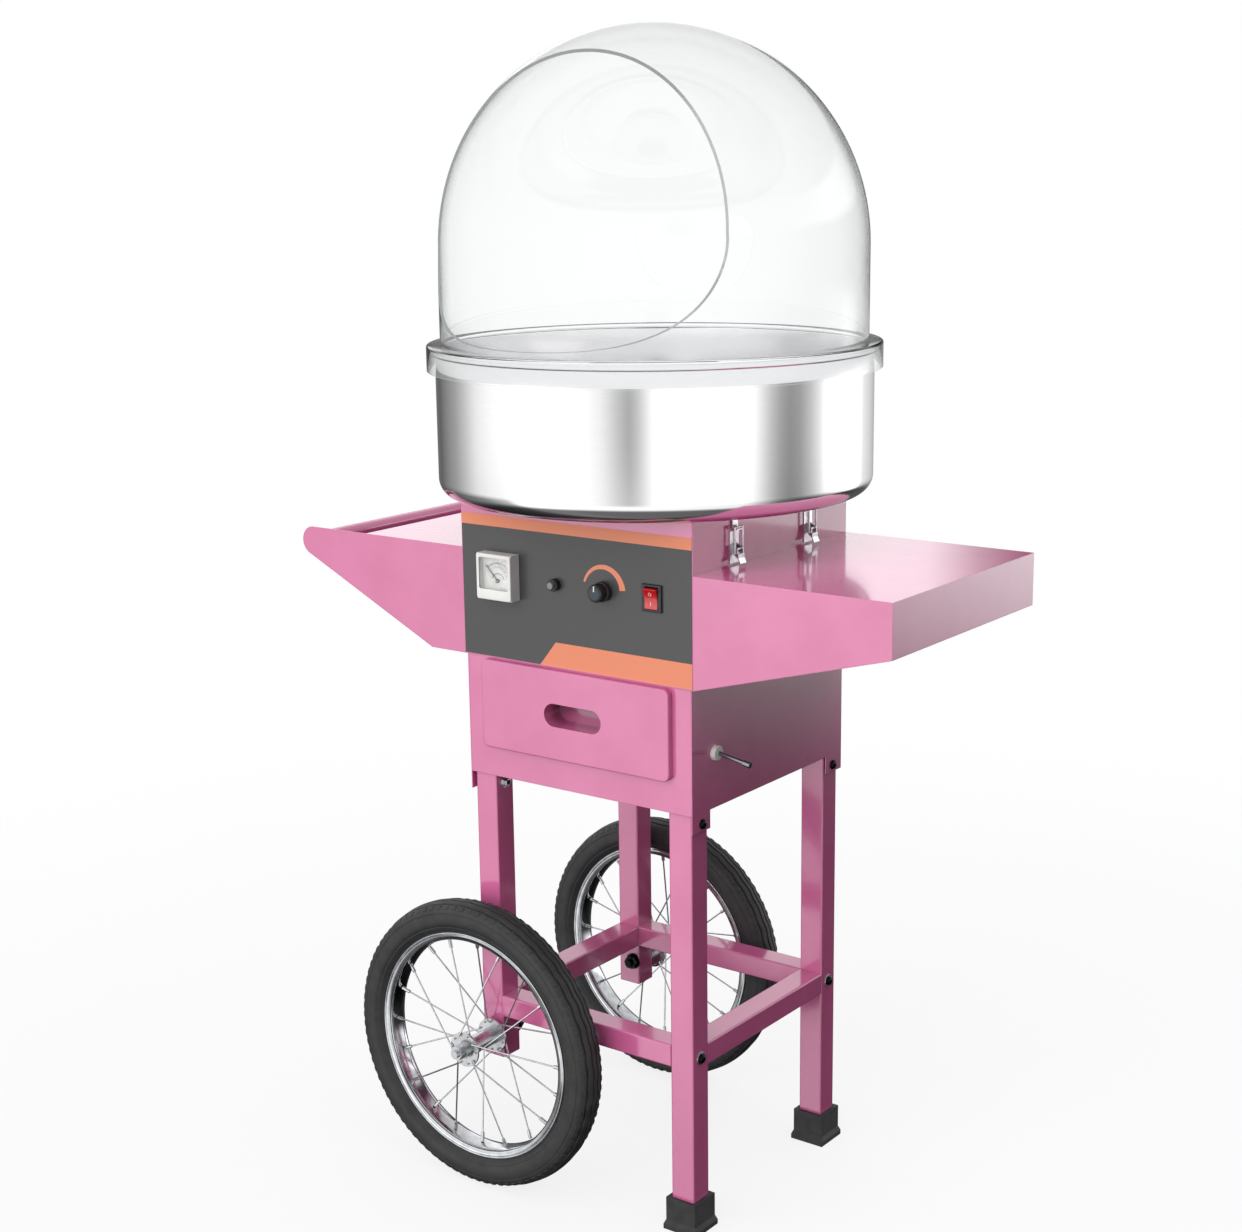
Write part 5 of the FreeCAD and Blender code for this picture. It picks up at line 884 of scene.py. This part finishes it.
# Spun aluminium: soft silver with the tool's rings, 1.2 mm apart, round its axis.
SPIN_AXIS = (CART_X / 1000, 0.0, 0.0)
spun_aluminium, shader = new_finish("spun_aluminium", "#c2c3c5", metallic=1.0, roughness=0.3)
tree = shader.id_data
moved, flat, out = off_axis(tree, SPIN_AXIS, (1, 1, 0))
vary(shader, value=lathe_rings(tree, out, 1.2), relief_mm=0.004, strength=0.6, rounded_mm=0.6)
finish(spun_aluminium, "head_base", "head_cap")
finish(ground_steel, "head_band")
finish(heat_browned, "head_heater")

# ---------------------------------------------------------------------------- bowl
# One piece of 1.2 mm stainless steel, spun to a round-cornered pan and polished, with a rolled bead at
# its rim and a short collar round the shaft hole.

# Polished stainless: a slightly soft mirror whose fine lines run round it.  They are drawn 1.6 mm wide,
# far coarser than real ones, and faint, so that they only soften what it mirrors.
polished_stainless, shader = new_finish("polished_spun_stainless", "#f0f0f1", metallic=1.0, roughness=0.11)
tree = shader.id_data
moved, flat, out = off_axis(tree, SPIN_AXIS, (1, 1, 0))
turn = add_node(tree, "ShaderNodeVectorMath", (flat,), operation="NORMALIZE")
turn = add_node(tree, "ShaderNodeSeparateXYZ", (turn,))
rise = add_node(tree, "ShaderNodeSeparateXYZ", (moved,)).outputs["Z"]
LINE_LENGTH = 0.02
unrolled = add_node(tree, "ShaderNodeCombineXYZ", (
    add_node(tree, "ShaderNodeMath", (turn.outputs["X"], LINE_LENGTH), operation="MULTIPLY"),
    add_node(tree, "ShaderNodeMath", (turn.outputs["Y"], LINE_LENGTH), operation="MULTIPLY"),
    add_node(tree, "ShaderNodeMath", (rise, out), operation="ADD")))
lines = add_node(tree, "ShaderNodeTexNoise", {"Vector": unrolled, "Scale": 1000.0 / 1.6, "Detail": 3.0})
vary(shader, value=lines, shades=("#efeff0", "#f1f1f2"), rough=(0.112, 0.12), relief_mm=0.001, strength=0.02)

BOWL_R, BOWL_FLOOR, CORNER, WALL = 260.0, 865.0, 21.0, 1.2
FLOOR_FLAT_R, COLLAR_R, COLLAR_TOP = 140.0, 44.0, 883.0
BEAD, BEAD_R = (262.8, 1036.0), 4.0
corner_middle = (BOWL_R - CORNER, BOWL_FLOOR + CORNER)
bowl_section = ([(COLLAR_R, BOWL_FLOOR), (FLOOR_FLAT_R, BOWL_FLOOR)] + arc(corner_middle, CORNER, -90, -6, 12)
                + [(BOWL_R, 888.0), (BOWL_R, 1029.0), (BOWL_R, 1031.6)] + arc(BEAD, BEAD_R, -128, 180, 20)
                + [(BOWL_R - WALL, 910.0)] + arc(corner_middle, CORNER - WALL, -6, -90, 12)
                + [(FLOOR_FLAT_R, BOWL_FLOOR + WALL), (COLLAR_R + WALL, BOWL_FLOOR + WALL),
                   (COLLAR_R + WALL, COLLAR_TOP), (COLLAR_R, COLLAR_TOP)])
bowl = mesh_object("spun_bowl", turned_shape(bowl_section, SPIN_AXIS, "Z", 256), polished_stainless, 50.0)
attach(bowl, "cart")
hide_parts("bowl")

# ---------------------------------------------------------------------------- dome
# A blown dome of 3 mm clear acrylic: cylinder and half ball, with a flange that rests on the bowl's bead
# and a lip over it.  The serving mouth is sawn out along a leaning line that sweeps forwards at its foot.

# Clear acrylic: water clear from the front, with painted shade that greys it the flatter one looks through
# its wall.
clear_acrylic, shader = new_finish("clear_acrylic", "#fcfdfd", roughness=0.0, ior=1.42,
                                   transmission_weight=1.0)
tree = shader.id_data
slant = add_node(tree, "ShaderNodeLayerWeight", {"Blend": 0.5}).outputs["Facing"]
# Painted shade: the base colour goes from white to mid grey towards the dome's silhouettes.
vary(shader, value=slant, stops=(0.0, 0.3, 0.5, 0.7, 0.84, 0.93, 1.0),
     shades=("#feffff", "#fbfcfc", "#f6f7f7", "#ebecec", "#c4c6c7", "#989a9c", "#747678"))
# Sawn edge: the same acrylic, frosted pale grey by the saw.
sawn_acrylic, shader = new_finish("sawn_acrylic_edge", "#a4a8aa", roughness=0.3, ior=1.49,
                                  transmission_weight=0.35)
vary(shader, 1.5, 3.0, shades=("#9ca0a2", "#afb3b5"))

DOME_R, DOME_WALL, SHOULDER, FLANGE, SKIRT_TOP = 253.5, 3.0, 1154.0, 1040.3, 1100.0
LIP_IN, LIP_OUT, LIP_LOW = 267.1, 270.1, 1013.0
dome_section = ([(DOME_R - DOME_WALL, FLANGE), (LIP_IN, FLANGE), (LIP_IN, LIP_LOW), (LIP_OUT, LIP_LOW),
                 (LIP_OUT, FLANGE)] + arc((LIP_OUT - DOME_WALL, FLANGE), DOME_WALL, 15, 90, 5)
                + [(DOME_R, FLANGE + DOME_WALL), (DOME_R, SKIRT_TOP)]
                + arc((0.0, SHOULDER), DOME_R, 0, 90, 40)
                + arc((0.0, SHOULDER), DOME_R - DOME_WALL, 90, 0, 40) + [(DOME_R - DOME_WALL, SKIRT_TOP)])
dome = mesh_object("acrylic_dome", turned_shape(dome_section, SPIN_AXIS, "Z", 224), clear_acrylic, 50.0)
BEND, FACE, SILL, LEAN, REACH = 130.0, 147.0, 1047.0, math.radians(5.4), 290.0
top_z = SHOULDER + DOME_R + 10.0
mouth = ([(-REACH, SILL)] + arc((-FACE - BEND, SILL + BEND), BEND, -90, 0, 28)
         + [(-FACE + (top_z - SILL - BEND) * math.tan(LEAN), top_z), (-REACH, top_z)])
saw_loops = [[spot(x, y, z) for y, z in mouth] for x in (-REACH, REACH)]
saw = mesh_object("mouth_saw", skin(saw_loops), sawn_acrylic)
cut = dome.modifiers.new("mouth", "BOOLEAN")
cut.operation = "DIFFERENCE"
cut.solver = "EXACT"
cut.material_mode = "TRANSFER"
cut.object = saw
baked(dome)
bpy.data.objects.remove(saw)
dome.data.shade_smooth()
dome.data.set_sharp_from_angle(angle=math.radians(50))
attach(dome, "dome_cover")
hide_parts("dome")
